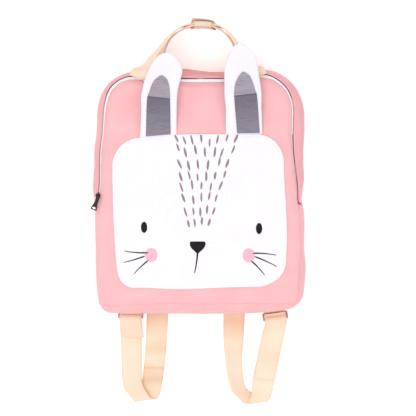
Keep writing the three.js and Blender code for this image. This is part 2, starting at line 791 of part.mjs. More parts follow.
// The wrap's cloth goes once round both handles and ends in a lifted flap. out is measured from
// the front handle's middle away from the bag, and height from there along its webbing's width.
function wrapGeometry() {
  const outer = webWall / 2 + seamGap + wrapWall;
  const inner = -(handleStack + webWall / 2 + seamGap + wrapWall);
  const high = webWidth / 2 + wrapRoom + wrapWall;
  const low = -(high + layGap);
  const second = outer + wrapWall + seamGap;
  const round = wrapRound;
  const section = table(['out', 'height', 'flap'], [
    [outer, 0, 0],
    [outer, high - round, 0],
    [outer - round, high, 0],
    [inner + round, high, 0],
    [inner, high - round, 0],
    [inner, low + round, 0],
    [inner + round, low, 0],
    [second - round, low - wrapWall, 0],
    [second, low - wrapWall + round, 0],
    [second, -webWidth / 4, 0],
    [second, 0, 0.25],
    [second, webWidth / 4, 1],
  ]);
  const frame = handleRibbon(frontHandleRows);
  const surface = (u, v) => {
    const { centre, along, width } = frame(lerp(wrapStart, wrapEnd, u));
    const outward = width.clone().cross(along).normalize();
    const lift = wrapFlap * lerp(1, 0.4, u);
    const points = section.map((row) => new THREE.Vector3(row.out + row.flap * lift, row.height, 0));
    const place = new THREE.CatmullRomCurve3(points, false, 'centripetal', 0.2).getPoint(1 - v);
    return centre.addScaledVector(outward, place.x).addScaledVector(width, place.y);
  };
  return clothWall(surface, 4, 33, wrapWall);
}

// A shoulder strap: under the back from the top seam, out below the base, folded over, and
// up again round its ring.
function strapGeometry(rows, line) {
  const topY = backHeight / 2 - strapTopInset;
  const edge = (xName, yName, liftName) => {
    const points = rows.map((row) => {
      const x = line + row[xName] * webWidth;
      const y = -bodyHeight / 2 - row[yName] * webWidth;
      return new THREE.Vector3(x, y, row[liftName] * webWidth);
    });
    points.unshift(new THREE.Vector3(points[0].x, topY, points[0].z));
    return new THREE.CatmullRomCurve3(points, false, 'centripetal');
  };
  const left = edge('leftX', 'leftY', 'leftLift');
  const right = edge('rightX', 'rightY', 'rightLift');
  const surface = (u, v) => left.getPoint(1 - u).lerp(right.getPoint(1 - u), 1 - v);
  return clothWall(surface, rows.length * 3, 1, webWall, 0.5);
}

// The ring that a strap and its tab go round. Its outer bar lies along X at the origin.
function ringGeometry() {
  const halfWidth = webWidth / 2 + layGap + ringBar;
  const frame = new THREE.Shape();
  const low = -ringBar / 2;
  const high = ringLength + ringBar / 2;
  const corner = ringBar * 0.6;
  frame.moveTo(-halfWidth + corner, low);
  frame.lineTo(halfWidth - corner, low);
  frame.quadraticCurveTo(halfWidth, low, halfWidth, low + corner);
  frame.lineTo(halfWidth, high - corner);
  frame.quadraticCurveTo(halfWidth, high, halfWidth - corner, high);
  frame.lineTo(-halfWidth + corner, high);
  frame.quadraticCurveTo(-halfWidth, high, -halfWidth, high - corner);
  frame.lineTo(-halfWidth, low + corner);
  frame.quadraticCurveTo(-halfWidth, low, -halfWidth + corner, low);
  const slotHalf = halfWidth - ringBar;
  const slot = new THREE.Path();
  slot.moveTo(-slotHalf, ringBar / 2);
  slot.lineTo(-slotHalf, ringLength - ringBar / 2);
  slot.lineTo(slotHalf, ringLength - ringBar / 2);
  slot.lineTo(slotHalf, ringBar / 2);
  slot.closePath();
  frame.holes.push(slot);
  const geometry = new THREE.ExtrudeGeometry(frame, {
    depth: ringBar - 2 * ringBevel,
    bevelEnabled: true,
    bevelThickness: ringBevel,
    bevelSize: ringBevel,
    bevelOffset: -ringBevel,
    bevelSegments: 1,
    curveSegments: 3,
  });
  geometry.translate(0, 0, ringBevel - ringBar / 2);
  return geometry;
}

// A tab: webbing from the base seam along the floor and back over the ring's inner bar.
// Its own frame has that bar along X at the origin.
function tabGeometry(reach, drop) {
  const round = ringBar * 0.7 + seamGap + webWall;
  const path = new THREE.CatmullRomCurve3([
    new THREE.Vector3(0, reach, -drop),
    new THREE.Vector3(0, reach * 0.4, -drop),
    new THREE.Vector3(0, -round * 0.3, -round),
    new THREE.Vector3(0, -round * 0.8, -round * 0.6),
    new THREE.Vector3(0, -round, 0),
    new THREE.Vector3(0, -round * 0.8, round * 0.6),
    new THREE.Vector3(0, -round * 0.2, round),
  ], false, 'centripetal');
  const surface = (u, v) => {
    const point = path.getPoint(v);
    point.x = (u - 0.5) * webWidth;
    return point;
  };
  return clothWall(surface, 1, 18, webWall);
}

// The zip's slider body with the bridge that holds its puller; its length runs along Y.
function zipSliderGeometry() {
  const half = sliderWidth / 2;
  const end = sliderLength / 2;
  const plan = new THREE.Shape();
  plan.moveTo(-half * 0.62, -end);
  plan.lineTo(half * 0.62, -end);
  plan.quadraticCurveTo(half * 0.8, -end * 0.2, half, end * 0.5);
  plan.quadraticCurveTo(half, end, half * 0.5, end);
  plan.lineTo(-half * 0.5, end);
  plan.quadraticCurveTo(-half, end, -half, end * 0.5);
  plan.quadraticCurveTo(-half * 0.8, -end * 0.2, -half * 0.62, -end);
  const bodyCut = { depth: sliderHeight, bevelEnabled: false, curveSegments: 5 };
  const body = new THREE.ExtrudeGeometry(plan, bodyCut);
  const leg = bridgeLength / 2;
  const arch = new THREE.Shape();
  arch.moveTo(-leg, -bridgeWall);
  arch.lineTo(-leg, bridgeHeight * 0.6);
  arch.quadraticCurveTo(-leg, bridgeHeight, -leg * 0.4, bridgeHeight);
  arch.lineTo(leg * 0.4, bridgeHeight);
  arch.quadraticCurveTo(leg, bridgeHeight, leg, bridgeHeight * 0.6);
  arch.lineTo(leg, -bridgeWall);
  arch.lineTo(leg - bridgeWall, -bridgeWall);
  arch.lineTo(leg - bridgeWall, bridgeHeight - bridgeWall);
  arch.lineTo(bridgeWall - leg, bridgeHeight - bridgeWall);
  arch.lineTo(bridgeWall - leg, -bridgeWall);
  arch.closePath();
  const archCut = { depth: bridgeWidth, bevelEnabled: false, curveSegments: 4 };
  const bridge = new THREE.ExtrudeGeometry(arch, archCut);
  bridge.translate(0, 0, -bridgeWidth / 2);
  bridge.rotateX(Math.PI / 2);
  bridge.rotateZ(Math.PI / 2);
  bridge.translate(0, 0, sliderHeight);
  return toGeometry(toSolid(body).add(toSolid(bridge)));
}

// The pull tab, hung from the origin towards -Y, with a round hole over the bridge's leg and
// a long one at its free end.
function pullerGeometry() {
  const top = pullerTopWidth / 2;
  const wide = pullerWidth / 2;
  const end = top - pullerLength;
  const plan = new THREE.Shape();
  plan.absarc(0, 0, top, 0, Math.PI, false);
  plan.lineTo(-top, -pullerLength * 0.25);
  plan.quadraticCurveTo(-top, -pullerLength * 0.4, -wide * 0.85, -pullerLength * 0.6);
  plan.lineTo(-wide, end + pullerCorner);
  plan.quadraticCurveTo(-wide, end, pullerCorner - wide, end);
  plan.lineTo(wide - pullerCorner, end);
  plan.quadraticCurveTo(wide, end, wide, end + pullerCorner);
  plan.lineTo(wide * 0.85, -pullerLength * 0.6);
  plan.quadraticCurveTo(top, -pullerLength * 0.4, top, -pullerLength * 0.25);
  plan.closePath();
  const eye = new THREE.Path();
  eye.absarc(0, 0, Math.hypot(bridgeWidth, bridgeWall) / 2 + seamGap, 0, 2 * Math.PI, true);
  const slot = new THREE.Path();
  slot.absellipse(0, end + 2 * pullerSlot, wide * 0.62, pullerSlot, 0, 2 * Math.PI, true);
  plan.holes.push(eye, slot);
  return new THREE.ExtrudeGeometry(plan, { depth: pullerWall, bevelEnabled: false, curveSegments: 8 });
}

const material = (colour, roughness, metalness = 0) => {
  return new THREE.MeshStandardMaterial({ color: colour, roughness, metalness });
};

const group = new THREE.Group();

function add(name, geometry, finish) {
  const mesh = new THREE.Mesh(geometry, finish);
  mesh.name = name;
  group.add(mesh);
  return mesh;
}

add('back_panel', backPanelGeometry(), material(colours.canvas, 0.9));
const topGusset = gussetGeometry(zipEndRight + seamShare, zipEndLeft - seamShare, 44, true);
add('top_gusset', topGusset, material(colours.canvas, 0.9));
const baseGusset = gussetGeometry(zipEndLeft + seamShare, 4 + zipEndRight - seamShare, 56, false);
add('base_gusset', baseGusset, material(colours.canvas, 0.9));
add('front_panel', frontPanelGeometry(), material(colours.canvas, 0.9));
add('zip_tape', zipTapeGeometry(), material(colours.tape, 0.8));
add('face_panel', facePanelGeometry(), material(colours.cloth, 0.85));
Object.entries(ears).forEach(([side, ear]) => {
  add('ear_' + side, earGeometry(ear), material(colours.cloth, 0.85));
  add('ear_lining_' + side, liningGeometry(ear), material(colours.lining, 0.9));
});
add('handle_front', handleGeometry(frontHandleRows), material(colours.webbing, 0.85));
add('handle_back', handleGeometry(backHandleRows), material(colours.webbing, 0.85));
add('handle_wrap', wrapGeometry(), material(colours.webbing, 0.85));

const [leftLine, rightLine] = strapLines();
add('strap_left', strapGeometry(strapRows.left, leftLine), material(colours.webbing, 0.85));
add('strap_right', strapGeometry(strapRows.right, rightLine), material(colours.webbing, 0.85));

// Each ring with its tab, in a group turned to where the strap pulls it
const corners = table(['side', 'sign', 'turn', 'reach', 'out'], [
  ['left', -1, 0, tabReachLeft, ringOutLeft],
  ['right', 1, ringTurnRight, tabReachRight, ringOutRight],
]);
corners.forEach(({ side, sign, turn, reach, out }) => {
  const corner = new THREE.Group();
  corner.position.set(tabShift + sign * tabSpread / 2, -bodyHeight / 2 - out, 0);
  corner.rotation.z = degToRad(turn);
  group.add(corner);
  const ring = add('strap_slider_' + side, ringGeometry(), material(colours.paleMetal, 0.35, 0.8));
  corner.add(ring);
  ring.position.z = ringHeight;
  ring.rotation.x = degToRad(-ringTilt);
  const barY = ringLength * Math.cos(degToRad(ringTilt));
  const barZ = ringHeight - ringLength * Math.sin(degToRad(ringTilt));
  const tabShape = tabGeometry(reach, barZ - seamGap);
  const tab = add('strap_tab_' + side, tabShape, material(colours.webbing, 0.85));
  corner.add(tab);
  tab.position.set(0, barY, barZ);
});

// The slider stands at the zip's left end, on the edges of the panel and the gusset
const zipEnd = settle(outlinePoint(panelOutline, zipEndLeft + sliderPast, sliderOut), 'panel');
const zipSlider = add('zip_slider', zipSliderGeometry(), material(colours.darkMetal, 0.4, 0.9));
zipSlider.position.set(zipEnd.x, zipEnd.y, bodyDepth + sliderSeat);
zipSlider.rotation.z = degToRad(-sliderTurn);
const pullerPlace = new THREE.Group();
zipSlider.add(pullerPlace);
pullerPlace.position.set(0, bridgeWall / 2 - bridgeLength / 2, sliderHeight + seamGap);
pullerPlace.rotation.z = degToRad(sliderTurn - pullerTurn);
const puller = new THREE.Mesh(pullerGeometry(), material(colours.darkMetal, 0.4, 0.9));
puller.name = 'zip_puller';
pullerPlace.add(puller);

// The origin lies at the middle of the part's box, on the surface that it rests on
group.updateMatrixWorld(true);
const box = new THREE.Box3().setFromObject(group, true);
const middle = box.getCenter(new THREE.Vector3());
group.position.set(-middle.x, -middle.y, -box.min.z);

export default group;
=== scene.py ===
# A children's canvas backpack with an animal's face, lying on its back, dressed for the camera.
# Sizes are in millimetres until they go into a mesh, which is in metres.

import math
import random

import bpy
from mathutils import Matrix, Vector, noise
from mathutils.bvhtree import BVHTree


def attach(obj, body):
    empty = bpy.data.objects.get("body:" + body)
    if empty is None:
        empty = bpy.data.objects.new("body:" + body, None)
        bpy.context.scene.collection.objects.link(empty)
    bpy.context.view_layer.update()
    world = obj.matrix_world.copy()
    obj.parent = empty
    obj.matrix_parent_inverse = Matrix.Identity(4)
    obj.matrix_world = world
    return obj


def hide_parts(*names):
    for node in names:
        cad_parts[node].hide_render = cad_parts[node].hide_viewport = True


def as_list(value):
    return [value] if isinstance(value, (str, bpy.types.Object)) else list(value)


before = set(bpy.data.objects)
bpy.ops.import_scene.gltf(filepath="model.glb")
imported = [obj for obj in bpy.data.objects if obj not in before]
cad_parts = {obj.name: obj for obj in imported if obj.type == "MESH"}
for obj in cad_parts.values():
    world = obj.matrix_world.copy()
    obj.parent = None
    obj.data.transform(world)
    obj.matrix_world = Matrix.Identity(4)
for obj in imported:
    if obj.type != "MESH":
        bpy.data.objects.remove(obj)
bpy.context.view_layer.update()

MM = 0.001
# From the middle of the bag's body to the part's origin
shift = Vector((-1.1204, 30.1917, 0.0))

# Cloth, webbing and the clearance at a seam
canvas_wall = 2.0
face_wall = 1.4
ear_wall = 3.0
lining_wall = 1.0
tape_wall = 1.2
wrap_wall = 1.1
web_wall = 2.0
web_width = 30.0
seam_gap = 0.35
edge_gap = 1.1
lay_gap = 0.8

# The bag as it lies
body = {"x": 0, "y": 0, "width": 299, "height": 346, "radii": (17, 17, 66, 66)}
back = {"x": 0, "y": 0, "width": 280, "height": 328, "radii": (14, 14, 60, 60)}
panel = {"x": 0, "y": -3, "width": 284, "height": 311, "radii": (12, 12, 48, 48)}
face = {"x": 1.5, "y": -28.5, "width": 241, "height": 215, "radii": (20, 38, 40, 40)}
body_depth = 64.0
panel_crown = 10.0
panel_roll = 5.0
panel_roll_run = 9.0
face_tilt = 1.4
corner_share = 0.25

stitch_inset = 3.6
stitch_groove = 0.45
stitch_pucker = 0.22
face_reach = 3.0

# Zip
zip_show = 5.6
zip_tuck = 3.0
zip_dip = 2.0
zip_end_right = 1.51
zip_end_left = 3.466
zip_length = 700.0
tooth_pitch = 1.7
tooth_size = (3.6, 1.1, 2.0)
tooth_share = 0.8

# Ears, handles and straps
ear_width = 50.0
ear_length = 127.0
ear_ridge = 14.0
ear_dome = 1.5
ear_rows = 170
lining_rows = 130
crease_row = 0.45
crease_depth = 0.9
crease_width = 1.0
lining_start = 0.005
lining_gap = 0.6
handle_length = 300.0
handle_span = 162.0
handle_rise = 81.0
handle_stack = 2.8
handle_foot = 4.0
wrap_start = 8 / 17
wrap_end = 10 / 17
wrap_flap = 5.0
wrap_room = 1.5
wrap_round = 0.8
strap_spread = 111.0
strap_shift = -4.4
strap_rise = web_wall + 2 * seam_gap
strap_top_inset = 2.0
strap_length = 760.0
channel_room = 2.0
channel_slope = 8.0
gusset_slope = 12.0
tab_spread = 209.2
tab_shift = 6.2
ring_bar = 2.4
ring_length = 9.5
ring_out = (8.5, 10.7)
ring_height = 9.75
ring_tilt = 30.0
ring_turn = 7.5
tab_reach = (4.9, 9.7)


def table(names, rows):
    return [dict(zip(names, row)) for row in rows]


side_rows = table(["height", "gusset_left", "gusset_right", "panel_left", "panel_right"], [
    (0, 0.026, 0.016, 0.011, 0.007),
    (0.04, 0.026, 0.002, 0.011, 0.007),
    (0.09, 0.018, -0.006, 0.006, 0.007),
    (0.17, 0.01, -0.013, 0.001, 0.004),
    (0.26, 0.008, -0.006, 0, -0.002),
    (0.42, 0.002, -0.003, 0, 0.004),
    (0.465, 0, 0.01, 0.007, 0.015),
    (0.5, -0.006, 0.006, 0.014, 0.016),
    (0.555, -0.004, 0, 0.019, 0.022),
    (0.61, 0, 0.003, 0.02, 0.031),
    (0.67, 0.002, 0.005, 0.024, 0.04),
    (0.75, 0.013, 0.002, 0.036, 0.043),
    (0.86, 0.014, 0, 0.039, 0.034),
    (0.95, 0.008, -0.008, 0.005, 0.005),
    (1, 0.013, -0.019, -0.01, -0.019),
])
top_rows = table(["across", "gusset", "panel"], [
    (-1, 0, 0),
    (-0.85, 0.002, -0.004),
    (-0.65, 0.004, -0.014),
    (-0.45, -0.002, -0.008),
    (-0.15, -0.006, 0),
    (0.1, 0.007, 0),
    (0.25, 0.006, -0.002),
    (0.45, 0, -0.012),
    (0.62, -0.004, -0.023),
    (0.8, -0.007, -0.008),
    (1, 0, 0),
])
base_rows = table(["across", "gusset", "panel"], [
    (-1, 0, 0),
    (-0.85, 0, -0.005),
    (-0.5, 0, 0),
    (-0.3, 0, 0.006),
    (0, 0, 0.002),
    (0.4, 0.001, 0.004),
    (0.68, 0.006, 0.005),
    (0.85, 0.017, 0.003),
    (1, 0.02, 0),
])
# Folds of the front panel, ends as shares of the body's half sizes
panel_folds = table(["x1", "y1", "x2", "y2", "width", "height"], [
    (0.82, 0.44, 0.9, 0.29, 0.022, -0.25),
    (0.88, -0.09, 0.95, -0.22, 0.03, 0.25),
    (0.9, -0.62, 0.95, -0.8, 0.04, -0.25),
    (0.7, 0.62, 0.84, 0.45, 0.05, 0.2),
    (-0.84, 0.6, -0.9, 0.2, 0.04, 0.18),
    (0.55, -0.84, 0.75, -0.88, 0.04, -0.18),
])
# Creases across the straps: along is a share of the strap from its free end, reach in that share
strap_creases = {
    "left": table(["along", "reach", "height", "bow"], [
        (0, 0.005, 1.6, 0),
        (0.776, 0.004, 1.2, -0.012),
    ]),
    "right": table(["along", "reach", "height", "bow"], [
        (0, 0.004, 0.9, 0),
    ]),
}
# Where painted shade darkens the straps' webbing, at the loops' shaded insides and bends: along and reach
# as shares of the strap
strap_painted_shade = {
    "left": table(["along", "reach", "strength"], [
        (0.905, 0.035, 0.5),
        (0.848, 0.022, 0.3),
        (0.781, 0.01, 0.55),
        (0.735, 0.06, 0.55),
    ]),
    "right": table(["along", "reach", "strength"], [
        (0.9, 0.03, 0.55),
    ]),
}
# Finer creases that only the dressed cloth has
panel_creases = table(["x1", "y1", "x2", "y2", "width", "height"], [
    (0.83, 0.42, 0.91, 0.27, 0.007, -0.13),
    (0.84, 0.45, 0.92, 0.3, 0.008, 0.1),
    (0.86, -0.1, 0.94, -0.21, 0.008, -0.1),
    (0.91, -0.63, 0.94, -0.78, 0.009, 0.1),
    (0.86, -0.62, 0.9, -0.76, 0.011, -0.08),
    (-0.9, -0.3, -0.93, -0.55, 0.012, 0.07),
    (-0.8, -0.86, -0.55, -0.88, 0.01, 0.07),
    (-0.1, -0.86, 0.15, -0.885, 0.009, -0.06),
    (-0.3, 0.62, -0.26, 0.8, 0.012, 0.06),
    (0.62, 0.66, 0.72, 0.56, 0.01, -0.07),
])
gusset_folds = table(["start", "end", "place", "width", "depth"], [
    (1.35, 2.25, 0.62, 0.1, -0.05),
    (1.5, 2.1, 0.42, 0.1, 0.03),
    (0.85, 1.45, 0.55, 0.14, -0.045),
    (3.3, 4, 0.6, 0.12, -0.03),
    (4.15, 4.9, 0.55, 0.12, 0.025),
])
gusset_creases = table(["start", "end", "place", "width", "depth"], [
    (1.55, 2.05, 0.8, 0.035, -0.016),
    (1.62, 2.2, 0.7, 0.035, 0.014),
    (1.05, 1.42, 0.74, 0.04, -0.014),
    (3.05, 3.5, 0.78, 0.04, -0.012),
    (3.55, 3.95, 0.72, 0.045, 0.012),
    (0.1, 0.8, 0.7, 0.05, -0.01),
    (2.3, 2.8, 0.72, 0.05, 0.01),
])
zip_rows = table(["around", "show"], [
    (zip_end_right, 0.30),
    (1.6, 0.3),
    (1.72, 0.45),
    (2, 0.55),
    (2.25, 0.8),
    (2.5, 1),
    (2.75, 0.8),
    (3.05, 0.75),
    (3.2, 0.65),
    (zip_end_left, 0.35),
])
face_rows = table(["height", "left", "right"], [
    (0, 0.034, 0.03),
    (0.05, 0.026, 0.01),
    (0.12, 0.015, 0.006),
    (0.2, 0.009, 0.004),
    (0.3, 0.005, -0.002),
    (0.45, 0.001, -0.002),
    (0.7, -0.001, 0.005),
    (0.85, 0.002, 0.006),
    (1, 0.002, 0.005),
])
face_edges = table(["across", "top", "base"], [
    (-1, 0.014, 0.018),
    (-0.63, 0.01, 0.013),
    (-0.35, 0.001, 0.001),
    (-0.1, -0.002, 0),
    (0.29, 0.003, 0.003),
    (0.7, 0.006, 0.003),
    (1, 0.006, 0.003),
])
ear_columns = ["up", "left", "right", "lift"]
lining_columns = ["up", "left", "right"]
left_ear_rows = table(ear_columns, [
    (0, -0.5, 0.5, 0),
    (0.16, -0.47, 0.5, 0.35),
    (0.33, -0.45, 0.51, 0.8),
    (0.41, -0.46, 0.52, 1),
    (0.49, -0.43, 0.54, 0.9),
    (0.6, -0.37, 0.6, 0.62),
    (0.69, -0.29, 0.66, 0.42),
    (0.76, -0.21, 0.63, 0.24),
    (0.82, -0.12, 0.56, 0.1),
    (0.875, 0, 0.44, 0.02),
    (0.91, 0.16, 0.3, -0.02),
])
left_lining_rows = table(lining_columns, [
    (0, -0.34, 0.34),
    (0.41, -0.29, 0.33),
    (0.49, -0.22, 0.32),
    (0.56, -0.16, 0.29),
    (0.61, -0.08, 0.24),
    (0.65, 0.05, 0.14),
])
right_ear_rows = table(ear_columns, [
    (0, -0.5, 0.5, 0),
    (0.14, -0.5, 0.48, 0.35),
    (0.28, -0.5, 0.46, 0.75),
    (0.415, -0.54, 0.46, 1),
    (0.51, -0.54, 0.44, 0.8),
    (0.63, -0.54, 0.4, 0.5),
    (0.73, -0.53, 0.36, 0.25),
    (0.83, -0.45, 0.32, 0.02),
    (0.91, -0.36, 0.19, -0.18),
    (0.96, -0.28, 0.08, -0.28),
    (0.99, -0.19, -0.04, -0.34),
])
right_lining_rows = table(lining_columns, [
    (0, -0.19, 0.43),
    (0.41, -0.28, 0.34),
    (0.47, -0.27, 0.29),
    (0.52, -0.26, 0.26),
    (0.58, -0.21, 0.2),
    (0.63, -0.14, 0.14),
    (0.67, -0.06, 0.01),
])
ears = {
    "left": {
        "x": -0.2324 * face["width"], "crease": 0.409, "slant": -0.11, "top": 0.905,
        "rows": left_ear_rows, "lining": left_lining_rows,
    },
    "right": {
        "x": 0.2635 * face["width"], "crease": 0.415, "slant": 0.11, "top": 0.99,
        "rows": right_ear_rows, "lining": right_lining_rows,
    },
}
handle_columns = ["across", "rise", "height", "lean"]
front_handle_rows = table(handle_columns, [
    (-0.51, 0.01, 1.043, 0),
    (-0.495, 0.085, 1.11, 28),
    (-0.45, 0.2, 1.05, 56),
    (-0.399, 0.39, 0.985, 73),
    (-0.34, 0.55, 0.905, 78),
    (-0.3, 0.66, 0.82, 79),
    (-0.25, 0.785, 0.745, 80),
    (-0.155, 0.945, 0.64, 84),
    (-0.059, 1, 0.555, 87),
    (0.035, 1.01, 0.55, 87),
    (0.134, 0.985, 0.555, 87),
    (0.213, 0.93, 0.64, 84),
    (0.287, 0.785, 0.73, 80),
    (0.345, 0.6, 0.83, 78),
    (0.39, 0.4, 0.93, 72),
    (0.43, 0.205, 1.03, 56),
    (0.485, 0.11, 1.11, 28),
    (0.495, 0.05, 1.02, 0),
])
back_handle_rows = table(handle_columns, [
    (-0.36, 0.15, 0.022, 0),
    (-0.358, 0.25, 0.04, 4),
    (-0.352, 0.33, 0.11, 20),
    (-0.342, 0.41, 0.19, 44),
    (-0.33, 0.48, 0.25, 62),
    (-0.314, 0.555, 0.31, 74),
    (-0.293, 0.648, 0.37, 78),
    (-0.248, 0.775, 0.43, 80),
    (-0.146, 0.914, 0.49, 84),
    (-0.0563, 0.9695, 0.551, 87),
    (0.0345, 0.98, 0.55, 87),
    (0.1295, 0.953, 0.553, 87),
    (0.2, 0.897, 0.49, 84),
    (0.277, 0.765, 0.43, 80),
    (0.334, 0.59, 0.36, 76),
    (0.35, 0.49, 0.27, 64),
    (0.357, 0.41, 0.195, 44),
    (0.36, 0.33, 0.11, 20),
    (0.362, 0.25, 0.04, 4),
    (0.362, 0.137, 0.022, 0),
])
strap_columns = ["left_x", "left_y", "right_x", "right_y", "left_lift", "right_lift"]
left_strap_rows = table(strap_columns, [
    (-0.5, -0.6, 0.5, -0.6, 0.045, 0.045),
    (-0.5, 0, 0.5, 0, 0.045, 0.045),
    (-0.54, 1.3, 0.44, 1.3, 0.045, 0.045),
    (-0.6, 2.27, 0.36, 2.27, 0.06, 0.06),
    (-0.64, 2.7, 0.31, 2.7, 0.12, 0.12),
    (-0.7, 3.24, 0.25, 3.24, 0.06, 0.06),
    (-0.78, 3.6, 0.2, 3.56, 0.045, 0.045),
    (-0.9, 3.96, 0.12, 3.9, 0.05, 0.05),
    (-1.05, 4.33, 0.02, 4.17, 0.18, 0.18),
    (-1.28, 4.1, -0.27, 4.18, 0.3, 0.32),
    (-1.53, 3.79, -0.52, 3.89, 0.3, 0.32),
    (-1.63, 3.52, -0.7, 3.57, 0.27, 0.29),
    (-1.68, 3.19, -0.78, 3.21, 0.22, 0.24),
    (-1.72, 2.37, -0.78, 2.37, 0.1, 0.1),
    (-1.76, 1.4, -0.77, 1.4, 0.05, 0.05),
    (-1.79, 0.72, -0.78, 0.72, 0.09, 0.09),
    (-1.79, 0.46, -0.79, 0.46, 0.2, 0.2),
    (-1.79, 0.28, -0.79, 0.28, 0.215, 0.215),
    (-1.79, 0.17, -0.79, 0.17, 0.325, 0.325),
    (-1.79, 0.28, -0.79, 0.28, 0.435, 0.435),
    (-1.79, 0.46, -0.79, 0.46, 0.42, 0.42),
    (-1.75, 0.75, -0.75, 0.77, 0.27, 0.27),
    (-1.69, 1.16, -0.68, 1.26, 0.155, 0.155),
])
right_strap_rows = table(strap_columns, [
    (-0.5, -0.6, 0.5, -0.6, 0.045, 0.045),
    (-0.5, 0, 0.5, 0, 0.045, 0.045),
    (-0.5, 1.3, 0.44, 1.3, 0.12, 0.045),
    (-0.42, 2.27, 0.37, 2.27, 0.4, 0.05),
    (-0.29, 3.24, 0.43, 3.24, 0.5, 0.05),
    (-0.09, 3.82, 0.56, 3.7, 0.52, 0.05),
    (0.22, 4.16, 0.84, 3.95, 0.45, 0.05),
    (0.46, 4.38, 1.26, 4.13, 0.3, 0.06),
    (0.64, 4.44, 1.55, 4.33, 0.22, 0.2),
    (0.74, 4.22, 1.69, 4.21, 0.32, 0.32),
    (0.86, 3.93, 1.79, 3.93, 0.32, 0.32),
    (0.9, 3.33, 1.92, 3.37, 0.24, 0.24),
    (1.12, 2.27, 2.14, 2.31, 0.1, 0.1),
    (1.31, 1.37, 2.33, 1.42, 0.05, 0.05),
    (1.43, 0.88, 2.45, 0.8, 0.09, 0.09),
    (1.5, 0.613, 2.5, 0.483, 0.2, 0.2),
    (1.485, 0.433, 2.485, 0.303, 0.215, 0.215),
    (1.48, 0.323, 2.48, 0.193, 0.325, 0.325),
    (1.485, 0.433, 2.485, 0.303, 0.435, 0.435),
    (1.5, 0.613, 2.5, 0.483, 0.42, 0.42),
    (1.43, 0.9, 2.45, 0.83, 0.26, 0.26),
    (1.31, 1.39, 2.33, 1.44, 0.17, 0.17),
    (1.12, 2.28, 2.14, 2.32, 0.21, 0.21),
    (0.96, 3.18, 1.95, 3.27, 0.335, 0.335),
])
strap_rows = {"left": left_strap_rows, "right": right_strap_rows}


def lerp(a, b, t):
    return a + (b - a) * t


def clamp(value, low, high):
    return max(low, min(high, value))


def smoothstep(value, low, high):
    t = clamp((value - low) / (high - low), 0, 1)
    return t * t * (3 - 2 * t)


# Reads a column of a table between its rows, on a smooth curve through them.
def value_at(rows, key, column, at):
    last = len(rows) - 1
    if at <= rows[0][key]:
        return rows[0][column]
    if at >= rows[last][key]:
        return rows[last][column]
    i = next(n for n, row in enumerate(rows) if row[key] > at) - 1

    def slope(a, b):
        return (rows[b][column] - rows[a][column]) / (rows[b][key] - rows[a][key])

    span = rows[i + 1][key] - rows[i][key]
    t = (at - rows[i][key]) / span
    start = slope(max(i - 1, 0), i + 1) * span
    end = slope(i, min(i + 2, last)) * span
    rest = rows[i + 1][column] - rows[i][column]
    bend = (start + end - 2 * rest) * t + (3 * rest - 2 * start - end)
    return rows[i][column] + start * t + bend * t * t


# A smooth curve through points, each share of it as long as one step between them.
def curve_point(points, t):
    last = len(points) - 1
    place = clamp(t, 0, 1) * last
    i = min(int(place), last - 1)
    w = place - i
    p1, p2 = points[i], points[i + 1]
    p0 = points[i - 1] if i > 0 else p1 * 2 - p2
    p3 = points[i + 2] if i + 2 <= last else p2 * 2 - p1
    d1 = (p2 - p1).length ** 0.5 or 1.0
    d0 = (p1 - p0).length ** 0.5 or d1
    d2 = (p3 - p2).length ** 0.5 or d1
    t1 = ((p1 - p0) / d0 - (p2 - p0) / (d0 + d1) + (p2 - p1) / d1) * d1
    t2 = ((p2 - p1) / d1 - (p3 - p1) / (d1 + d2) + (p3 - p2) / d2) * d1
    c2 = (p2 - p1) * 3 - t1 * 2 - t2
    c3 = (p1 - p2) * 2 + t1 + t2
    return p1 + t1 * w + c2 * w * w + c3 * w * w * w


def curve_along(points, t):
    step = 1e-3
    return (curve_point(points, min(t + step, 1)) - curve_point(points, max(t - step, 0))).normalized()


# A closed outline, a rectangle with round corners: around runs from 0 to 4 along the base, up
# the right side, along the top to the left and down the left side.
def outline_point(outline, around, grow=0.0):
    side = int(around) % 4
    share = around - int(around)
    signs = [(-1, -1), (1, -1), (1, 1), (-1, 1)]

    def corner(index):
        sign_x, sign_y = signs[index % 4]
        radius = outline["radii"][index % 4] + grow
        x = outline["x"] + sign_x * (outline["width"] / 2 + grow - radius)
        y = outline["y"] + sign_y * (outline["height"] / 2 + grow - radius)
        return x, y, radius

    def on_arc(place, degrees):
        x, y, radius = place
        turn = math.radians(degrees)
        return Vector((x + radius * math.cos(turn), y + radius * math.sin(turn)))

    facing = (side - 1) * 90
    start, end = corner(side), corner(side + 1)
    if share < corner_share:
        return on_arc(start, facing - 45 + 45 * share / corner_share)
    if share > 1 - corner_share:
        return on_arc(end, facing + 45 - 45 * (1 - share) / corner_share)
    straight = (share - corner_share) / (1 - 2 * corner_share)
    return on_arc(start, facing).lerp(on_arc(end, facing), straight)


# Moves a point of the plain outline to where the lying cloth has it.
def settle(point, part):
    across = point.x / (body["width"] / 2)
    up = point.y / (body["height"] / 2)
    side = part + ("_left" if across < 0 else "_right")
    inward = value_at(side_rows, "height", side, (up + 1) / 2)
    pull = value_at(base_rows if up < 0 else top_rows, "across", part, across)
    x = point.x - math.copysign(1, across) * inward * body["width"] * across * across
    y = point.y - math.copysign(1, up) * pull * body["height"] * up * up
    return Vector((x, y))


def inside_panel(x, y):
    radius = panel["radii"][2 if y > panel["y"] else 0]
    dx = abs(x - panel["x"]) - panel["width"] / 2 + radius
    dy = abs(y - panel["y"]) - panel["height"] / 2 + radius
    outside = math.hypot(max(dx, 0), max(dy, 0))
    return radius - outside - min(max(dx, dy), 0)


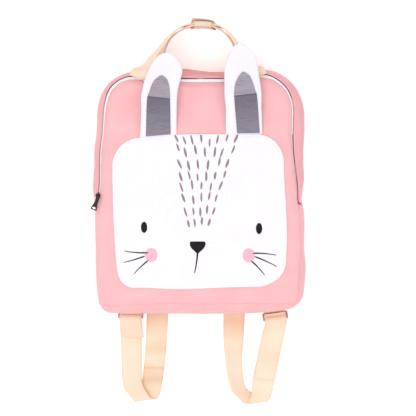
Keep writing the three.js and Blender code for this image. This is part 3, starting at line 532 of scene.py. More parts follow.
def fold_height(folds, x, y):
    height = 0.0
    for fold in folds:
        start = Vector((fold["x1"] * body["width"] / 2, fold["y1"] * body["height"] / 2))
        run = Vector((fold["x2"] * body["width"] / 2, fold["y2"] * body["height"] / 2)) - start
        offset = Vector((x, y)) - start
        share = clamp(offset.dot(run) / run.length_squared, 0, 1)
        away = (offset - run * share).length / (fold["width"] * body["width"])
        if away < 3:
            height += fold["height"] * panel_crown * math.exp(-away * away)
    return height


def soft_noise(x, y, z, size):
    return noise.noise(Vector((x, y, z)) / size)


# Height of the front panel over the floor, at a point of the plain outline.
def front_height(x, y):
    across = clamp(abs(x - panel["x"]) / (panel["width"] / 2), 0, 1)
    up = clamp(abs(y - panel["y"]) / (panel["height"] / 2), 0, 1)
    crown = panel_crown * (1 - across ** 2.5) * (1 - up ** 3)
    depth = inside_panel(x, y)
    inside = clamp(depth / panel_roll_run, 0, 1)
    roll = panel_roll * math.sin(inside * math.pi / 2)
    folds = fold_height(panel_folds, x, y) + fold_height(panel_creases, x, y)
    return body_depth + roll + crown + folds * inside


# A point inside an outline: the unit square's rings become the outline, drawn in.
def patch_point(outline, u, v):
    a, b = 2 * u - 1, 2 * v - 1
    ring = max(abs(a), abs(b))
    centre = Vector((outline["x"], outline["y"]))
    if ring < 1e-9:
        return centre
    if b == -ring:
        around = (a / ring + 1) / 2
    elif a == ring:
        around = 1 + (b / ring + 1) / 2
    elif b == ring:
        around = 2 + (1 - a / ring) / 2
    else:
        around = 3 + (1 - b / ring) / 2
    return centre.lerp(outline_point(outline, around % 4), 1 - (1 - ring) ** 1.5)


def strap_lines():
    return [strap_shift - strap_spread / 2, strap_shift + strap_spread / 2]


def strap_lift(x):
    flat = web_width / 2 + gusset_slope
    nearest = min(abs(x - line) for line in strap_lines())
    return strap_rise * (1 - smoothstep(nearest, flat, flat + gusset_slope))


def fold_out(folds, around, across):
    total = 0.0
    for row in folds:
        place = around + 4 if around < row["start"] else around
        along = (place - row["start"]) / (row["end"] - row["start"])
        if 0 <= along <= 1:
            away = (across - row["place"]) / row["width"]
            total += row["depth"] * body_depth * math.sin(along * math.pi) * math.exp(-away * away)
    return total


def gusset_point(around, across, beside_zip):
    start = settle(outline_point(back, around, canvas_wall + edge_gap), "gusset")
    widest = settle(outline_point(body, around), "gusset")
    show = value_at(zip_rows, "around", "show", around) * zip_show
    grow = show + canvas_wall + seam_gap if beside_zip else 0
    end = settle(outline_point(panel, around, grow), "panel")
    bulge = (4 * across * (1 - across)) ** 0.8
    outward = widest - start.lerp(end, 0.5)
    plan = start.lerp(end, across) + outward * bulge
    ripple = 0.5 * bulge * soft_noise(plan.x, plan.y, across * body_depth, 26)
    fold = fold_out(gusset_folds, around, across) + fold_out(gusset_creases, around, across)
    plan += outward.normalized() * (fold + ripple)
    low = strap_lift(plan.x) + seam_gap
    high = body_depth if beside_zip else body_depth - canvas_wall - seam_gap
    return Vector((plan.x, plan.y, lerp(low, high, across)))


# Builds a mesh piece from corner points in millimetres of the bag's own frame.
def make_piece(name, points, faces, material, uvs=None, smooth=True):
    mesh = bpy.data.meshes.new(name)
    mesh.from_pydata([(p + shift) * MM for p in points], [], faces)
    if uvs is not None:
        layer = mesh.uv_layers.new(name="cloth")
        for loop in mesh.loops:
            u, v = uvs[loop.vertex_index]
            layer.data[loop.index].uv = (u * MM, v * MM)
    mesh.update()
    if smooth:
        mesh.shade_smooth()
    piece = bpy.data.objects.new(name, mesh)
    bpy.context.scene.collection.objects.link(piece)
    mesh.materials.append(material)
    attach(piece, "root")
    return piece


# A closed cloth wall: surface(u, v) gives its outer side, the wall lies behind it, or on both
# sides of it by the share lead, and its rim is rounded. size is its length along u and v.
def cloth_wall(name, surface, columns, rows, wall, material, size, lead=0.0):
    grid = [[surface(i / columns, j / rows) for j in range(rows + 1)] for i in range(columns + 1)]
    front, behind, uvs = [], [], []
    for i in range(columns + 1):
        for j in range(rows + 1):
            along = grid[min(i + 1, columns)][j] - grid[max(i - 1, 0)][j]
            across = grid[i][min(j + 1, rows)] - grid[i][max(j - 1, 0)]
            normal = along.cross(across).normalized()
            front.append(grid[i][j] + normal * wall * lead)
            behind.append(grid[i][j] + normal * wall * (lead - 1))
            uvs.append((i / columns * size[0], j / rows * size[1]))
    count = len(front)
    points = front + behind
    uvs += uvs
    step = rows + 1
    faces = []
    for i in range(columns):
        for j in range(rows):
            a, b = i * step + j, (i + 1) * step + j
            faces.append((a, b, b + 1, a + 1))
            faces.append((count + a, count + a + 1, count + b + 1, count + b))
    rim = [i * step for i in range(columns)]
    rim += [columns * step + j for j in range(rows)]
    rim += [i * step + rows for i in range(columns, 0, -1)]
    rim += [j for j in range(rows, 0, -1)]
    edge = []
    for index in rim:
        i, j = divmod(index, step)
        inner = min(max(i, 1), columns - 1) * step + min(max(j, 1), rows - 1)
        middle = (front[index] + behind[index]) / 2
        out = (front[index] - front[inner]).normalized() * wall * 0.3
        edge.append(len(points))
        points.append(middle + out)
        uvs.append(uvs[index])
    for n, index in enumerate(rim):
        after = (n + 1) % len(rim)
        faces.append((index, edge[n], edge[after], rim[after]))
        faces.append((edge[n], count + index, count + rim[after], edge[after]))
    return make_piece(name, points, faces, material, uvs)


# Takes a cloth wall with its grid and how it is held, and only turns rests_on into a list; nothing else is
# done with them.
def cut_sheet(piece, columns, rows, held, rests_on=()):
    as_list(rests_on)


# A cloth wall drawn in place of a node of the CAD, which it hides; how it is held goes on to cut_sheet.
def dressed(name, node, surface, grid, wall, material, held=None, rests_on=(), size=(1, 1), lead=0.0):
    piece = cloth_wall(name, surface, *grid, wall, material, size, lead)
    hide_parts(node)
    if held:
        cut_sheet(piece, *grid, held, rests_on)
    return piece


# Stitches along a path of points: each is a thread that dips at both ends.
def stitch_row(name, path, material, pitch=3.2, length=2.3, thick=0.5):
    lengths = [0.0]
    for a, b in zip(path, path[1:]):
        lengths.append(lengths[-1] + (b - a).length)
    points, faces = [], []
    segment = 0

    def at(distance):
        nonlocal segment
        while segment > 0 and lengths[segment] > distance:
            segment -= 1
        while segment < len(path) - 2 and lengths[segment + 1] < distance:
            segment += 1
        share = (distance - lengths[segment]) / max(lengths[segment + 1] - lengths[segment], 1e-6)
        return path[segment].lerp(path[segment + 1], share)

    sides = 6
    shares = ((0.0, 0.25), (0.2, 0.85), (0.5, 1.0), (0.8, 0.85), (1.0, 0.25))
    for n in range(int(lengths[-1] / pitch)):
        begin = (n + 0.5) * pitch - length / 2
        base = len(points)
        way = (at(begin + length) - at(begin)).normalized()
        side = way.orthogonal().normalized()
        third = way.cross(side)
        for share, girth in shares:
            centre = at(begin + share * length)
            centre = centre + Vector((0, 0, (girth - 0.8) * thick * 0.5))
            for k in range(sides):
                turn = 2 * math.pi * k / sides
                ring = side * math.cos(turn) + third * math.sin(turn)
                points.append(centre + ring * (thick * girth / 2))
        for r in range(len(shares) - 1):
            for k in range(sides):
                a, b = base + r * sides + k, base + r * sides + (k + 1) % sides
                faces.append((a, b, b + sides, a + sides))
        faces.append(tuple(base + k for k in reversed(range(sides))))
        end = base + (len(shares) - 1) * sides
        faces.append(tuple(end + k for k in range(sides)))
    return make_piece(name, points, faces, material)


def linear(code):
    channels = [int(code[i:i + 2], 16) / 255 for i in (0, 2, 4)]
    return [c / 12.92 if c <= 0.04045 else ((c + 0.055) / 1.055) ** 2.4 for c in channels] + [1.0]


# A material's nodes, with short ways to add and join them.
class Nodes:
    def __init__(self, name):
        self.material = bpy.data.materials.new(name)
        self.material.use_nodes = True
        self.tree = self.material.node_tree
        self.shader = self.tree.nodes["Principled BSDF"]

    def add(self, kind, inputs=None, **settings):
        node = self.tree.nodes.new(kind)
        for key, value in settings.items():
            setattr(node, key, value)
        for key, value in (inputs or {}).items():
            self.put(node, key, value)
        return node

    def put(self, node, key, value):
        if isinstance(value, bpy.types.NodeSocket):
            self.tree.links.new(value, node.inputs[key])
        else:
            node.inputs[key].default_value = value

    def place(self):
        return self.add("ShaderNodeTexCoord").outputs["Object"]

    def strip(self):
        return self.split(self.add("ShaderNodeUVMap", uv_map="cloth").outputs[0])

    def split(self, vector):
        return self.add("ShaderNodeSeparateXYZ", {0: vector}).outputs

    def math(self, operation, first, second=0.0):
        return self.add("ShaderNodeMath", {0: first, 1: second}, operation=operation).outputs[0]

    def times(self, first, second):
        return self.math("MULTIPLY", first, second)

    def sum(self, first, *others):
        for other in others:
            first = self.math("ADD", first, other)
        return first

    def mix(self, factor, first, second):
        node = self.add("ShaderNodeMix", data_type="RGBA")
        self.put(node, "Factor", factor)
        self.put(node, 6, first)
        self.put(node, 7, second)
        return node.outputs[2]

    def noise(self, place, scale, detail=2.0, rough=0.5):
        inputs = {"Vector": place, "Scale": scale, "Detail": detail, "Roughness": rough}
        return self.add("ShaderNodeTexNoise", inputs).outputs["Fac"]

    def stretch(self, place, share):
        return self.add("ShaderNodeMapping", {"Vector": place, "Scale": (share, 1.0, 1.0)}).outputs[0]

    def ramp(self, value, low, high):
        node = self.add("ShaderNodeMapRange", {"Value": value, "From Min": low, "From Max": high})
        return node.outputs["Result"]

    def wave(self, place, pitch):
        return self.math("SINE", self.times(place, 2 * math.pi / (pitch * MM)))

    def relief(self, height, depth, strength=0.6):
        inputs = {"Height": height, "Distance": depth * MM, "Strength": strength}
        self.put(self.shader, "Normal", self.add("ShaderNodeBump", inputs).outputs[0])

    def cloth(self, colour, rough, sheen, specular):
        self.put(self.shader, "Base Color", colour)
        self.put(self.shader, "Roughness", rough)
        self.put(self.shader, "Sheen Weight", sheen)
        self.put(self.shader, "Specular IOR Level", specular)


# Woven cloth: threads cross at right angles in the cloth's own plane, with slubs and mottling.
def woven(name, light, dark, pitch, depth, sheen=0.2, rough=0.9):
    n = Nodes(name)
    place = n.place()
    waves = [n.wave(axis, pitch) for axis in n.split(place)]
    weave = n.sum(*[n.times(waves[k], waves[(k + 1) % 3]) for k in range(3)])
    slub = n.noise(place, 900.0)
    shade = n.sum(n.times(weave, 0.10), n.times(slub, 0.35), n.times(n.noise(place, 30.0, 3.0), 0.55))
    n.cloth(n.mix(n.ramp(shade, 0.15, 0.75), linear(dark), linear(light)), rough, sheen, 0.25)
    n.relief(n.sum(n.times(weave, 0.5), slub), depth)
    return n.material


# Webbing: ribs run along it, each with slanted threads, from the strip's own coordinates. It can have
# painted shade across it, in a tan colour, at places along it.
def webbing(name, light="FBE5D1", dark="F2D1B5", tan="D9AC86", painted_shades=(), length=1.0):
    n = Nodes(name)
    along, across = n.strip()[:2]
    place = n.place()
    ribs = n.wave(across, 1.5)
    threads = n.wave(n.sum(along, n.times(n.wave(across, 3.0), 0.0004)), 0.9)
    fibre = n.noise(place, 700.0)
    shade = n.sum(n.times(ribs, 0.12), n.times(n.noise(place, 22.0), 0.8), n.times(fibre, 0.2))
    colour = n.mix(n.ramp(shade, 0.2, 0.8), linear(dark), linear(light))
    for row in painted_shades:
        away = n.math("SUBTRACT", along, row["along"] * length * MM)
        near = n.ramp(n.math("ABSOLUTE", away), row["reach"] * length * MM, 0)
        # The tan colour mixed in here is painted shade
        colour = n.mix(n.times(near, row["strength"]), colour, linear(tan))
    n.cloth(colour, 0.8, 0.25, 0.3)
    n.relief(n.sum(ribs, n.times(n.sum(threads, fibre), 0.4)), 0.14)
    return n.material


# Melange cloth: pale and dark yarns lie side by side across the ear. Its colour has painted light and
# shade: lighter on the ear's tip side of the crease, painted shade on its foot side, darkest next to the
# crease, and a painted dark shade line on the crease, which runs at a slant through a point of the bag's
# own frame.
def melange(name, above, low, crease_shade_colour, dark_yarn_and_crease_shade, crease, slant):
    n = Nodes(name)
    place = n.place()
    x, y, _ = n.split(place)
    stretched = n.stretch(place, 0.12)
    yarn = n.noise(stretched, 800.0, 3.0, 0.6)
    start = ((crease.y + shift.y) - slant * (crease.x + shift.x)) * MM
    fold = n.math("SUBTRACT", n.math("SUBTRACT", y, n.times(x, slant)), start)
    # Painted shade on the ear's foot side of the crease, darkest next to the crease
    painted_shade_side = n.mix(n.ramp(fold, -0.055, -0.001), linear(low), linear(crease_shade_colour))
    # Painted light on the tip side of the crease
    colour = n.mix(n.ramp(fold, -0.0008, 0.0008), painted_shade_side, linear(above))
    shade = n.sum(n.times(yarn, 0.7), n.times(n.noise(stretched, 160.0), 0.3))
    colour = n.mix(n.times(n.ramp(shade, 0.55, 0.35), 0.4), colour, linear(dark_yarn_and_crease_shade))
    # Painted dark shade line along the crease
    line = n.ramp(n.math("ABSOLUTE", fold), 0.0011, 0.0003)
    n.cloth(n.mix(n.times(line, 0.8), colour, linear(dark_yarn_and_crease_shade)), 0.95, 0.15, 0.2)
    n.relief(yarn, 0.12)
    return n.material


# The zip's tape: twill, with a painted red-brown shade along its outer edge down both sides, where the
# seam's gap shades it.
def tape_cloth(name, light, dark, painted_seam_shade, right_end, left_start):
    n = Nodes(name)
    along, across = n.strip()[:2]
    colour = n.mix(n.ramp(n.noise(n.place(), 800.0), 0.3, 0.7), linear(dark), linear(light))
    right = n.ramp(along, right_end * MM, (right_end - 30) * MM)
    left = n.ramp(along, left_start * MM, (left_start + 30) * MM)
    # Painted shade of the seam's gap along the tape's outer edge, towards both ends of the zip's run
    edge = n.times(n.ramp(across, 0.0009, 0.0004), n.math("MAXIMUM", left, right))
    n.cloth(n.mix(edge, colour, linear(painted_seam_shade)), 0.85, 0.15, 0.5)
    n.relief(n.wave(n.sum(along, across), 0.8), 0.06, 0.5)
    return n.material


# Ink on cloth: the weave shows through it and takes a little of it off.
def printed(name, ink, worn):
    n = Nodes(name)
    place = n.place()
    x, y, _ = n.split(place)
    weave = n.times(n.wave(x, 0.6), n.wave(y, 0.6))
    grain = n.noise(place, 1100.0)
    shade = n.ramp(n.sum(grain, n.times(weave, 0.1)), 0.52, 0.78)
    n.cloth(n.mix(shade, linear(ink), linear(worn)), 0.85, 0.0, 0.2)
    n.relief(n.sum(n.times(weave, 0.5), grain), 0.08)
    return n.material


def metal(name, light, dark, rough, metallic):
    n = Nodes(name)
    place = n.place()
    grain = n.noise(n.stretch(place, 0.2), 1500.0, 3.0)
    wear = n.ramp(n.noise(place, 180.0, 3.0), 0.35, 0.7)
    n.put(n.shader, "Base Color", n.mix(wear, linear(dark), linear(light)))
    n.put(n.shader, "Roughness", n.add("ShaderNodeMapRange", {
        "Value": grain, "To Min": rough - 0.08, "To Max": rough + 0.12}).outputs["Result"])
    n.put(n.shader, "Metallic", metallic)
    n.relief(grain, 0.02, 0.4)
    return n.material


def plain_floor(name, colour, glow):
    n = Nodes(name)
    n.put(n.shader, "Emission Color", (1, 1, 1, 1))
    n.put(n.shader, "Emission Strength", glow)
    n.cloth(colour, 0.9, 0.0, 0.1)
    return n.material


canvas = woven("pink_canvas", "F9C2C5", "EFABAF", 0.75, 0.16)
# A darker copy of the pink canvas: painted shade for the top gusset, whose band faces away from the light
shaded_gusset_canvas = woven("pink_canvas_gusset_shaded", "F5B5BA", "E9A0A6", 0.75, 0.16)
white_cloth = woven("white_cloth", "F5F1FA", "EBE5F2", 0.6, 0.12)
web = webbing("cream_webbing")
tape = tape_cloth("zip_tape", "FFFEFD", "F6F3F1", "8F5A58", 0.15 * zip_length, 0.84 * zip_length)
thread = woven("sewing_thread", "FDFBFF", "E6DEEC", 0.3, 0.05)
tooth_plastic = woven("zip_teeth", "FFFFFF", "FAF8F7", 0.5, 0.02, sheen=0.0, rough=0.45)
dark_ink = printed("dark_ink", "1C151A", "3A3138")
whisker_ink = printed("whisker_ink", "2C2D30", "504E54")
tick_ink = printed("tick_ink", "8F7C87", "AB9AA5")
cheek_ink = printed("cheek_ink", "F5AFC0", "F8C6D2")
dark_metal = metal("dark_metal", "3A3236", "1C1719", 0.36, 0.8)
pale_metal = metal("pale_metal", "E6D4CC", "B58E82", 0.32, 0.85)


def front_surface(u, v):
    plain = patch_point(panel, u, v)
    lying = settle(plain, "panel")
    depth = inside_panel(plain.x, plain.y)
    pucker = math.exp(-((depth - 5) / 4) ** 2) * 0.35 * soft_noise(plain.x, plain.y, 7, 6)
    ease = 0.7 * soft_noise(plain.x, plain.y, 3, 60) * clamp(depth / 20, 0, 1)
    return Vector((lying.x, lying.y, front_height(plain.x, plain.y) + pucker + ease))


front = dressed("front_cloth", "front_panel", front_surface, (128, 128), canvas_wall,
                canvas, "stretched")


def tree_of(piece):
    mesh = piece.data
    points = [v.co / MM - shift for v in mesh.vertices]
    return BVHTree.FromPolygons(points, [tuple(p.vertices) for p in mesh.polygons])


def height_on(tree, x, y, default=None):
    hit = tree.ray_cast(Vector((x, y, 200)), Vector((0, 0, -1)))[0]
    return default if hit is None else hit.z


front_tree = tree_of(front)

# Gussets
gusset_parts = (
    # The top gusset takes the canvas's painted-shade copy
    ("gusset_top", "top_gusset", zip_end_right, zip_end_left, 300, True, shaded_gusset_canvas),
    ("gusset_base", "base_gusset", zip_end_left, 4 + zip_end_right, 340, False, canvas),
)
seam_share = seam_gap / body["height"]
for name, node, start, end, columns, beside_zip, cloth in gusset_parts:
    def gusset_surface(u, v):
        return gusset_point(lerp(start + seam_share, end - seam_share, u) % 4, v, beside_zip)

    dressed(name, node, gusset_surface, (columns, 30), canvas_wall, cloth, "stretched")


# Back panel, raised over the two straps
def back_surface(u, v):
    plan = settle(patch_point(back, 1 - u, v), "gusset")
    nearest = min(abs(plan.x - line) for line in strap_lines())
    flat = web_width / 2 + channel_room
    rise = strap_rise * (1 - clamp((nearest - flat) / channel_slope, 0, 1))
    return Vector((plan.x, plan.y, rise))


dressed("back_cloth", "back_panel", back_surface, (96, 96), canvas_wall, canvas, "stretched")


# Zip tape and its teeth
def tape_place(around, out):
    plan = settle(outline_point(panel, around, out), "panel")
    return Vector((plan.x, plan.y, body_depth - zip_dip - seam_gap))


def tape_surface(u, v):
    around = lerp(zip_end_right + seam_share, zip_end_left - seam_share, u)
    show = value_at(zip_rows, "around", "show", around) * zip_show
    return tape_place(around, lerp(show - seam_gap, -zip_tuck, v))


dressed("zip_cloth", "zip_tape", tape_surface, (260, 6), tape_wall, tape,
        size=(zip_length, zip_show + zip_tuck))


# A tooth seen from above, its corners as shares of its half sizes
tooth_shape = ((-1, -0.6), (-0.6, -1), (0.6, -1), (1, -0.6),
               (1, 0.6), (0.6, 1), (-0.6, 1), (-1, 0.6))


def tooth_points(centre, way, out, size):
    up = way.cross(out)
    corners = []
    for k in (-1, 1):
        for a, b in tooth_shape:
            corners.append(centre + out * (a * size[0] / 2) + way * (b * size[1] / 2)
                           + up * (k * size[2] / 2))
    return corners


def zip_teeth():
    points, faces = [], []
    steps = 1600
    path = []
    for i in range(steps + 1):
        around = lerp(1.70, zip_end_left - 4 * seam_share, i / steps)
        show = value_at(zip_rows, "around", "show", around) * zip_show
        middle = show / 2
        path.append((tape_place(around, middle), tape_place(around, middle + 1), show * tooth_share))
    travelled = 0.0
    turn = 0
    for (a, a_out, wide), (b, _, _) in zip(path, path[1:]):
        travelled += (b - a).length
        if travelled < tooth_pitch:
            continue
        travelled -= tooth_pitch
        turn += 1
        way = (b - a).normalized()
        out = (a_out - a).normalized()
        offset = 0.3 if turn % 2 else -0.3
        centre = a + out * offset + Vector((0, 0, tooth_size[2] / 2))
        base = len(points)
        points += tooth_points(centre, way, out, (min(wide, tooth_size[0]), *tooth_size[1:]))
        for k in range(8):
            after = (k + 1) % 8
            faces.append((base + k, base + after, base + 8 + after, base + 8 + k))
        faces.append(tuple(base + k for k in reversed(range(8))))
        faces.append(tuple(base + 8 + k for k in range(8)))
    return make_piece("zip_teeth", points, faces, tooth_plastic, smooth=False)


zip_teeth()


# Face panel, lying on the front
def face_point(plain):
    height = (plain.y - face["y"]) / face["height"] + 0.5
    across = (plain.x - face["x"]) / (face["width"] / 2)
    inward = value_at(face_rows, "height", "left" if across < 0 else "right", height)
    up = 2 * height - 1
    pull = value_at(face_edges, "across", "base" if up < 0 else "top", across)
    x = plain.x - inward * face["width"] * across * abs(across) - face["x"]
    y = plain.y - pull * face["height"] * up * abs(up) - face["y"]
    turn = math.radians(face_tilt)
    return Vector((face["x"] + x * math.cos(turn) - y * math.sin(turn),
                   face["y"] + x * math.sin(turn) + y * math.cos(turn)))


def face_surface(u, v):
    plain = patch_point(face, u, v)
    lying = face_point(plain)
    near = (-face_reach, 0, face_reach)
    around = [height_on(front_tree, lying.x + dx, lying.y + dy, 0) for dx in near for dy in near]
    ring = max(abs(2 * u - 1), abs(2 * v - 1))
    inside = (1 - ring) ** 1.5 * face["width"] / 2
    groove = stitch_groove * math.exp(-(inside - stitch_inset) ** 2)
    near_seam = math.exp(-((inside - stitch_inset) / 5) ** 2)
    pucker = stitch_pucker * near_seam * soft_noise(lying.x, lying.y, 5, 5)
    ease = 0.25 * soft_noise(lying.x, lying.y, 9, 45)
    rise = max(around) + lay_gap + face_wall - groove + pucker + ease
    return Vector((lying.x, lying.y, rise))


face_cloth = dressed("face_cloth", "face_panel", face_surface, (112, 112), face_wall,
                     white_cloth, "laid", ["front_cloth"])
face_tree = tree_of(face_cloth)

stitch_path = []
for i in range(481):
    around = 4 * (i % 480) / 480
    edge = outline_point(face, around, -stitch_inset)
    lying = face_point(edge)
    stitch_path.append(Vector((lying.x, lying.y, height_on(face_tree, lying.x, lying.y, 70) + 0.1)))
stitch_row("face_stitches", stitch_path, thread)


# Ears and their linings
def face_top(x):
    across = (x - face["x"]) / (face["width"] / 2)
    pull = value_at(face_edges, "across", "top", across) * face["height"]
    slope = math.tan(math.radians(face_tilt))
    return face["y"] + face["height"] / 2 - pull + (x - face["x"]) * slope


ear_feet, ear_creases = {}, {}
for side, ear in ears.items():
    top = face_top(ear["x"])
    ear_feet[side] = front_height(ear["x"], top) + edge_gap + ear_wall
    ear_creases[side] = Vector((ear["x"], top + seam_gap + ear["crease"] * ear_length))


def ear_point(side, up, edge):
    ear = ears[side]
    left = value_at(ear["rows"], "up", "left", up)
    right = value_at(ear["rows"], "up", "right", up)
    lift = value_at(ear["rows"], "up", "lift", up)
    dome = ear_dome * math.sin(math.pi * clamp(edge, 0, 1))
    x = ear["x"] + lerp(left, right, edge) * ear_width
    foot = face_top(x) * (1 - up) + (face_top(ear["x"]) + seam_gap) * up
    y = foot + seam_gap + up * ear_length
    away = (y - ear_creases[side].y - ear["slant"] * (x - ear["x"])) / crease_width
    groove = crease_depth * math.exp(-away * away)
    return Vector((x, y, ear_feet[side] + lift * ear_ridge + dome - groove))


for side, ear in ears.items():
    def ear_surface(u, v):
        past = (v - crease_row) / (1 - crease_row)
        up = ear["crease"] * v / crease_row if past < 0 else lerp(ear["crease"], ear["top"], past)
        return ear_point(side, up, u)

    def lining_surface(u, v):
        up = lerp(lining_start, ear["lining"][-1]["up"], v)
        left = value_at(ear["lining"], "up", "left", up)
        right = value_at(ear["lining"], "up", "right", up)
        ear_left = value_at(ear["rows"], "up", "left", up)
        ear_right = value_at(ear["rows"], "up", "right", up)
        point = ear_point(side, up, (lerp(left, right, u) - ear_left) / (ear_right - ear_left))
        point.z += lining_gap + lining_wall
        return point

    cloth = dressed("ear_cloth_" + side, "ear_" + side, ear_surface, (24, ear_rows),
                    ear_wall, white_cloth)
    # Colours in order: the painted lit side past the crease, the painted shade towards the foot, the
    # darker painted shade next to the crease, the dark yarn and crease line
    lining_cloth = melange("grey_lining_" + side, "A39AA6", "8C8492", "726A79", "564F5C",
                           ear_creases[side], ear["slant"])
    dressed("ear_lining_cloth_" + side, "ear_lining_" + side, lining_surface,
            (20, lining_rows), lining_wall, lining_cloth, "laid", ["ear_cloth_" + side])


# Handles and their wrap
def handle_frame(rows):
    foot = panel["y"] + panel["height"] / 2 + seam_gap
    points = [Vector((row["across"] * handle_span, foot + handle_foot + row["rise"] * handle_rise,
                      row["height"] * body_depth)) for row in rows]
    numbered = [{"at": i / (len(rows) - 1), "lean": row["lean"]} for i, row in enumerate(rows)]

    def frame_at(t):
        along = curve_along(points, t)
        level = Vector((along.y, -along.x, 0)).normalized()
        lean = math.radians(value_at(numbered, "at", "lean", t))
        width = level * math.cos(lean) + Vector((0, 0, math.sin(lean)))
        width = (width - along * width.dot(along)).normalized()
        return curve_point(points, t), along, width

    return frame_at


for name, node, rows in (("handle_web_front", "handle_front", front_handle_rows),
                         ("handle_web_back", "handle_back", back_handle_rows)):
    frame_at = handle_frame(rows)

    def handle_surface(u, v):
        centre, _, width = frame_at(u)
        return centre + width * ((v - 0.5) * web_width)

    dressed(name, node, handle_surface, (150, 8), web_wall, web,
            size=(handle_length, web_width), lead=0.5)


def wrap_surface_of():
    outer = web_wall / 2 + seam_gap + wrap_wall
    inner = -(handle_stack + web_wall / 2 + seam_gap + wrap_wall)
    high = web_width / 2 + wrap_room + wrap_wall
    low = -(high + lay_gap)
    second = outer + wrap_wall + seam_gap
    turn = wrap_round
    section = table(["out", "height", "flap"], [
        (outer, 0, 0),
        (outer, high - turn, 0),
        (outer - turn, high, 0),
        (inner + turn, high, 0),
        (inner, high - turn, 0),
        (inner, low + turn, 0),
        (inner + turn, low, 0),
        (second - turn, low - wrap_wall, 0),
        (second, low - wrap_wall + turn, 0),
        (second, -web_width / 4, 0),
        (second, 0, 0.25),
        (second, web_width / 4, 1),
    ])
    frame_at = handle_frame(front_handle_rows)

    def surface(u, v):
        centre, along, width = frame_at(lerp(wrap_start, wrap_end, u))
        outward = width.cross(along).normalized()
        lift = wrap_flap * lerp(1, 0.4, u)
        points = [Vector((row["out"] + row["flap"] * lift, row["height"], 0)) for row in section]
        place = curve_point(points, 1 - v)
        return centre + outward * place.x + width * place.y

    return surface


wrap_web = webbing("cream_webbing_wrap", "F6E3D0", "DFC4AB")
dressed("wrap_cloth", "handle_wrap", wrap_surface_of(), (20, 132), wrap_wall, wrap_web,
        "folded", size=(34, 90))


# Shoulder straps
def strap_edges(rows, line):
    top = back["height"] / 2 - strap_top_inset

    def edge(x_name, y_name, lift_name):
        points = [Vector((line + row[x_name] * web_width,
                          -body["height"] / 2 - row[y_name] * web_width,
                          row[lift_name] * web_width)) for row in rows]
        return [Vector((points[0].x, top, points[0].z))] + points

    return edge("left_x", "left_y", "left_lift"), edge("right_x", "right_y", "right_lift")


for side, line in zip(("left", "right"), strap_lines()):
    left_edge, right_edge = strap_edges(strap_rows[side], line)

    def strap_surface(u, v):
        place = curve_point(left_edge, 1 - u).lerp(curve_point(right_edge, 1 - u), 1 - v)
        for row in strap_creases[side]:
            bow = row["bow"] * 4 * v * (1 - v)
            away = (u - row["along"] - bow) / row["reach"]
            place.z += row["height"] * math.exp(-away * away)
        return place

    strap_web = webbing("cream_webbing_" + side, painted_shades=strap_painted_shade[side], length=strap_length)
    dressed("strap_web_" + side, "strap_" + side, strap_surface, (460, 8), web_wall,
            strap_web, size=(strap_length, web_width), lead=0.5)

# Tabs round the sliders' inner bars
for side, sign, turn, reach, out in (("left", -1, 0, tab_reach[0], ring_out[0]),
                                     ("right", 1, ring_turn, tab_reach[1], ring_out[1])):
    corner = Vector((tab_shift + sign * tab_spread / 2, -body["height"] / 2 - out, 0))
    bar_y = ring_length * math.cos(math.radians(ring_tilt))
    bar_z = ring_height - ring_length * math.sin(math.radians(ring_tilt))
    loop = ring_bar * 0.7 + seam_gap + web_wall
    drop = bar_z - seam_gap
    path = [Vector((0, reach, -drop)), Vector((0, reach * 0.4, -drop)),
            Vector((0, -loop * 0.3, -loop)), Vector((0, -loop * 0.8, -loop * 0.6)),
            Vector((0, -loop, 0)), Vector((0, -loop * 0.8, loop * 0.6)),
            Vector((0, -loop * 0.2, loop))]
    angle = math.radians(turn)

    def tab_surface(u, v):
        point = curve_point(path, v)
        x, y = (u - 0.5) * web_width, point.y + bar_y
        return Vector((corner.x + x * math.cos(angle) - y * math.sin(angle),
                       corner.y + x * math.sin(angle) + y * math.cos(angle), point.z + bar_z))

    dressed("tab_web_" + side, "strap_tab_" + side, tab_surface, (12, 30), web_wall, web,
            size=(web_width, 20))


# The face's print: each shape is a thin film of ink that follows the panel, measured from a
# point near the panel's middle
ink_lift = 0.16
marks_lift = 0.24
print_x = 1.5
print_y = -27.0


def on_face(x, y):
    px, py = x + print_x, y + print_y
    return Vector((px, py, height_on(face_tree, px, py, 70) + ink_lift))


def add_grid(points, faces, grid, close=False):
    base = len(points)
    columns, rows = len(grid), len(grid[0])
    for line in grid:
        points.extend(line)
    for i in range(columns if close else columns - 1):
        for j in range(rows - 1):
            a, b = base + i * rows + j, base + (i + 1) % columns * rows + j
            faces.append((a, b, b + 1, a + 1))


def add_oval(points, faces, x, y, width, height):
    grid = []
    for i in range(32):
        angle = 2 * math.pi * i / 32
        line = []
        for ring in (0.02, 0.35, 0.7, 1.0):
            line.append(on_face(x + ring * width / 2 * math.cos(angle),
                                y + ring * height / 2 * math.sin(angle)))
        grid.append(line[::-1])
    add_grid(points, faces, grid, close=True)


# A stroke between two points that bends to one side, its width from a function of its length.
def add_stroke(points, faces, start, end, width, bend=0.0, steps=14):
    start, end = Vector(start), Vector(end)
    run = end - start
    side = Vector((-run.y, run.x)).normalized()
    grid = []
    for i in range(steps + 1):
        t = i / steps
        centre = start + run * t + side * (bend * 4 * t * (1 - t))
        half = width(t) / 2
        grid.append([on_face(*(centre + side * half)), on_face(*centre), on_face(*(centre - side * half))])
    add_grid(points, faces, [line[::-1] for line in grid])


def shape_piece(name, draw, material):
    points, faces = [], []
    draw(points, faces)
    piece = make_piece(name, points, faces, material)
    return piece


eye_size = (8.9, 15.6)
eye_places = ((-77.3, -23.4), (82.9, -25.1))
cheek_size = (17.6, 19.5)
cheek_places = ((-67.4, -62.0), (68.5, -62.4))


def draw_eyes(points, faces):
    for x, y in eye_places:
        add_oval(points, faces, x, y, *eye_size)


def draw_cheeks(points, faces):
    for x, y in cheek_places:
        add_oval(points, faces, x, y, *cheek_size)


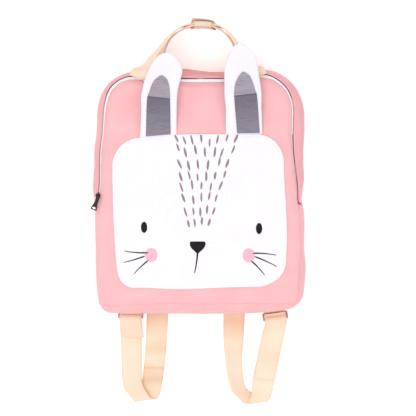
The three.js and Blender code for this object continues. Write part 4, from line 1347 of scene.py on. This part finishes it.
nose_rows = table(["down", "half"], [
    (0, 0.8),
    (0.04, 0.93),
    (0.12, 1),
    (0.28, 1),
    (0.45, 0.92),
    (0.6, 0.76),
    (0.75, 0.54),
    (0.88, 0.32),
    (1, 0.14),
])


def draw_nose(points, faces):
    x, top, width, height = -2.7, -43.0, 21.8, 16.4
    grid = []
    for i in range(25):
        down = i / 24
        half = value_at(nose_rows, "down", "half", down) * width / 2
        y = top - down * height
        grid.append([on_face(x + share * half, y) for share in (-1, -0.5, 0, 0.5, 1)])
    add_grid(points, faces, grid)
    add_stroke(points, faces, (-2.8, -58.5), (-7.1, -87.3), lambda t: lerp(2.6, 1.3, t), bend=0.6)


whiskers = table(["x1", "y1", "x2", "y2", "bend"], [
    (-71.3, -58.8, -104.7, -56.5, 1),
    (-76, -63.4, -105.8, -72.4, 0.6),
    (-71.3, -69.4, -91.5, -88.6, -0.8),
    (74, -59.6, 107, -62.4, 1),
    (76.5, -64.1, 107.8, -78.3, 0.7),
    (71.6, -69.8, 90.9, -90.5, 0.8),
])


def draw_whiskers(points, faces):
    for row in whiskers:
        add_stroke(points, faces, (row["x1"], row["y1"]), (row["x2"], row["y2"]),
                   lambda t: lerp(2.3, 1.0, t) * min(1, 0.4 + t * 6), bend=row["bend"])


# Forehead: short ticks in staggered rows that fan out towards the top.
tick_rows = (4, 5, 5, 5, 6, 6, 7, 8)


def draw_ticks(points, faces):
    chance = random.Random(7)
    for r, count in enumerate(tick_rows):
        up = r / (len(tick_rows) - 1)
        middle = lerp(-1, 8, up)
        half = lerp(14, 42, up ** 0.9)
        for i in range(count):
            across = 2 * i / (count - 1) - 1
            x = middle + across * half + chance.uniform(-1.6, 1.6)
            y = lerp(-18, 98, up) + chance.uniform(-4, 4) + 2.5 * abs(across)
            lean = math.radians(across * lerp(14, 24, up) + chance.uniform(-4, 4))
            length = chance.uniform(11, 15.5)
            wide = chance.uniform(2.5, 3.5)
            dx, dy = math.sin(lean) * length / 2, math.cos(lean) * length / 2
            add_stroke(points, faces, (x - dx, y - dy), (x + dx, y + dy),
                       lambda t: wide * max(math.sin(math.pi * t), 0) ** 0.5 + 0.1,
                       bend=chance.uniform(-0.4, 0.4), steps=8)


shape_piece("print_eyes", draw_eyes, dark_ink)
shape_piece("print_nose", draw_nose, dark_ink)
shape_piece("print_cheeks", draw_cheeks, cheek_ink)
ink_lift = marks_lift
shape_piece("print_whiskers", draw_whiskers, whisker_ink)
shape_piece("print_ticks", draw_ticks, tick_ink)

# Metal parts keep their solids
metal_nodes = {"strap_slider_left": pale_metal, "strap_slider_right": pale_metal,
               "zip_slider": dark_metal, "zip_puller": dark_metal}
for node, finish in metal_nodes.items():
    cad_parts[node].data.materials.clear()
    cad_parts[node].data.materials.append(finish)

# Floor, light and camera
bpy.ops.mesh.primitive_plane_add(size=8, location=(0, 0, 0))
floor = bpy.context.active_object
floor.name = "floor"
floor.data.materials.append(plain_floor("floor", (0.82, 0.82, 0.82, 1), 0.32))

world = bpy.data.worlds.new("studio")
bpy.context.scene.world = world
world.use_nodes = True
world.node_tree.nodes["Background"].inputs[0].default_value = (1.0, 1.0, 1.0, 1)
world.node_tree.nodes["Background"].inputs[1].default_value = 0.75


def area_light(name, place, target, size, power):
    data = bpy.data.lights.new(name, "AREA")
    data.size = size
    data.energy = power
    light = bpy.data.objects.new(name, data)
    light.location = place
    light.rotation_euler = (Vector(target) - Vector(place)).to_track_quat("-Z", "Y").to_euler()
    bpy.context.scene.collection.objects.link(light)


area_light("key", (-0.4, -0.6, 2.4), (0, 0, 0), 1.5, 27)
area_light("fill", (0.7, 1.0, 2.2), (0, 0, 0), 1.6, 8)

# The camera looks straight down, a little to the side of the bag's middle
camera_place = (13.2, -23.5, 2000.0)
camera_data = bpy.data.cameras.new("camera")
camera_data.lens = 119.36
camera_data.sensor_width = 36
camera_data.clip_end = 20
camera = bpy.data.objects.new("camera", camera_data)
camera.location = (shift + Vector(camera_place)) * MM
bpy.context.scene.collection.objects.link(camera)
bpy.context.scene.camera = camera
bpy.context.scene.view_settings.view_transform = "Standard"
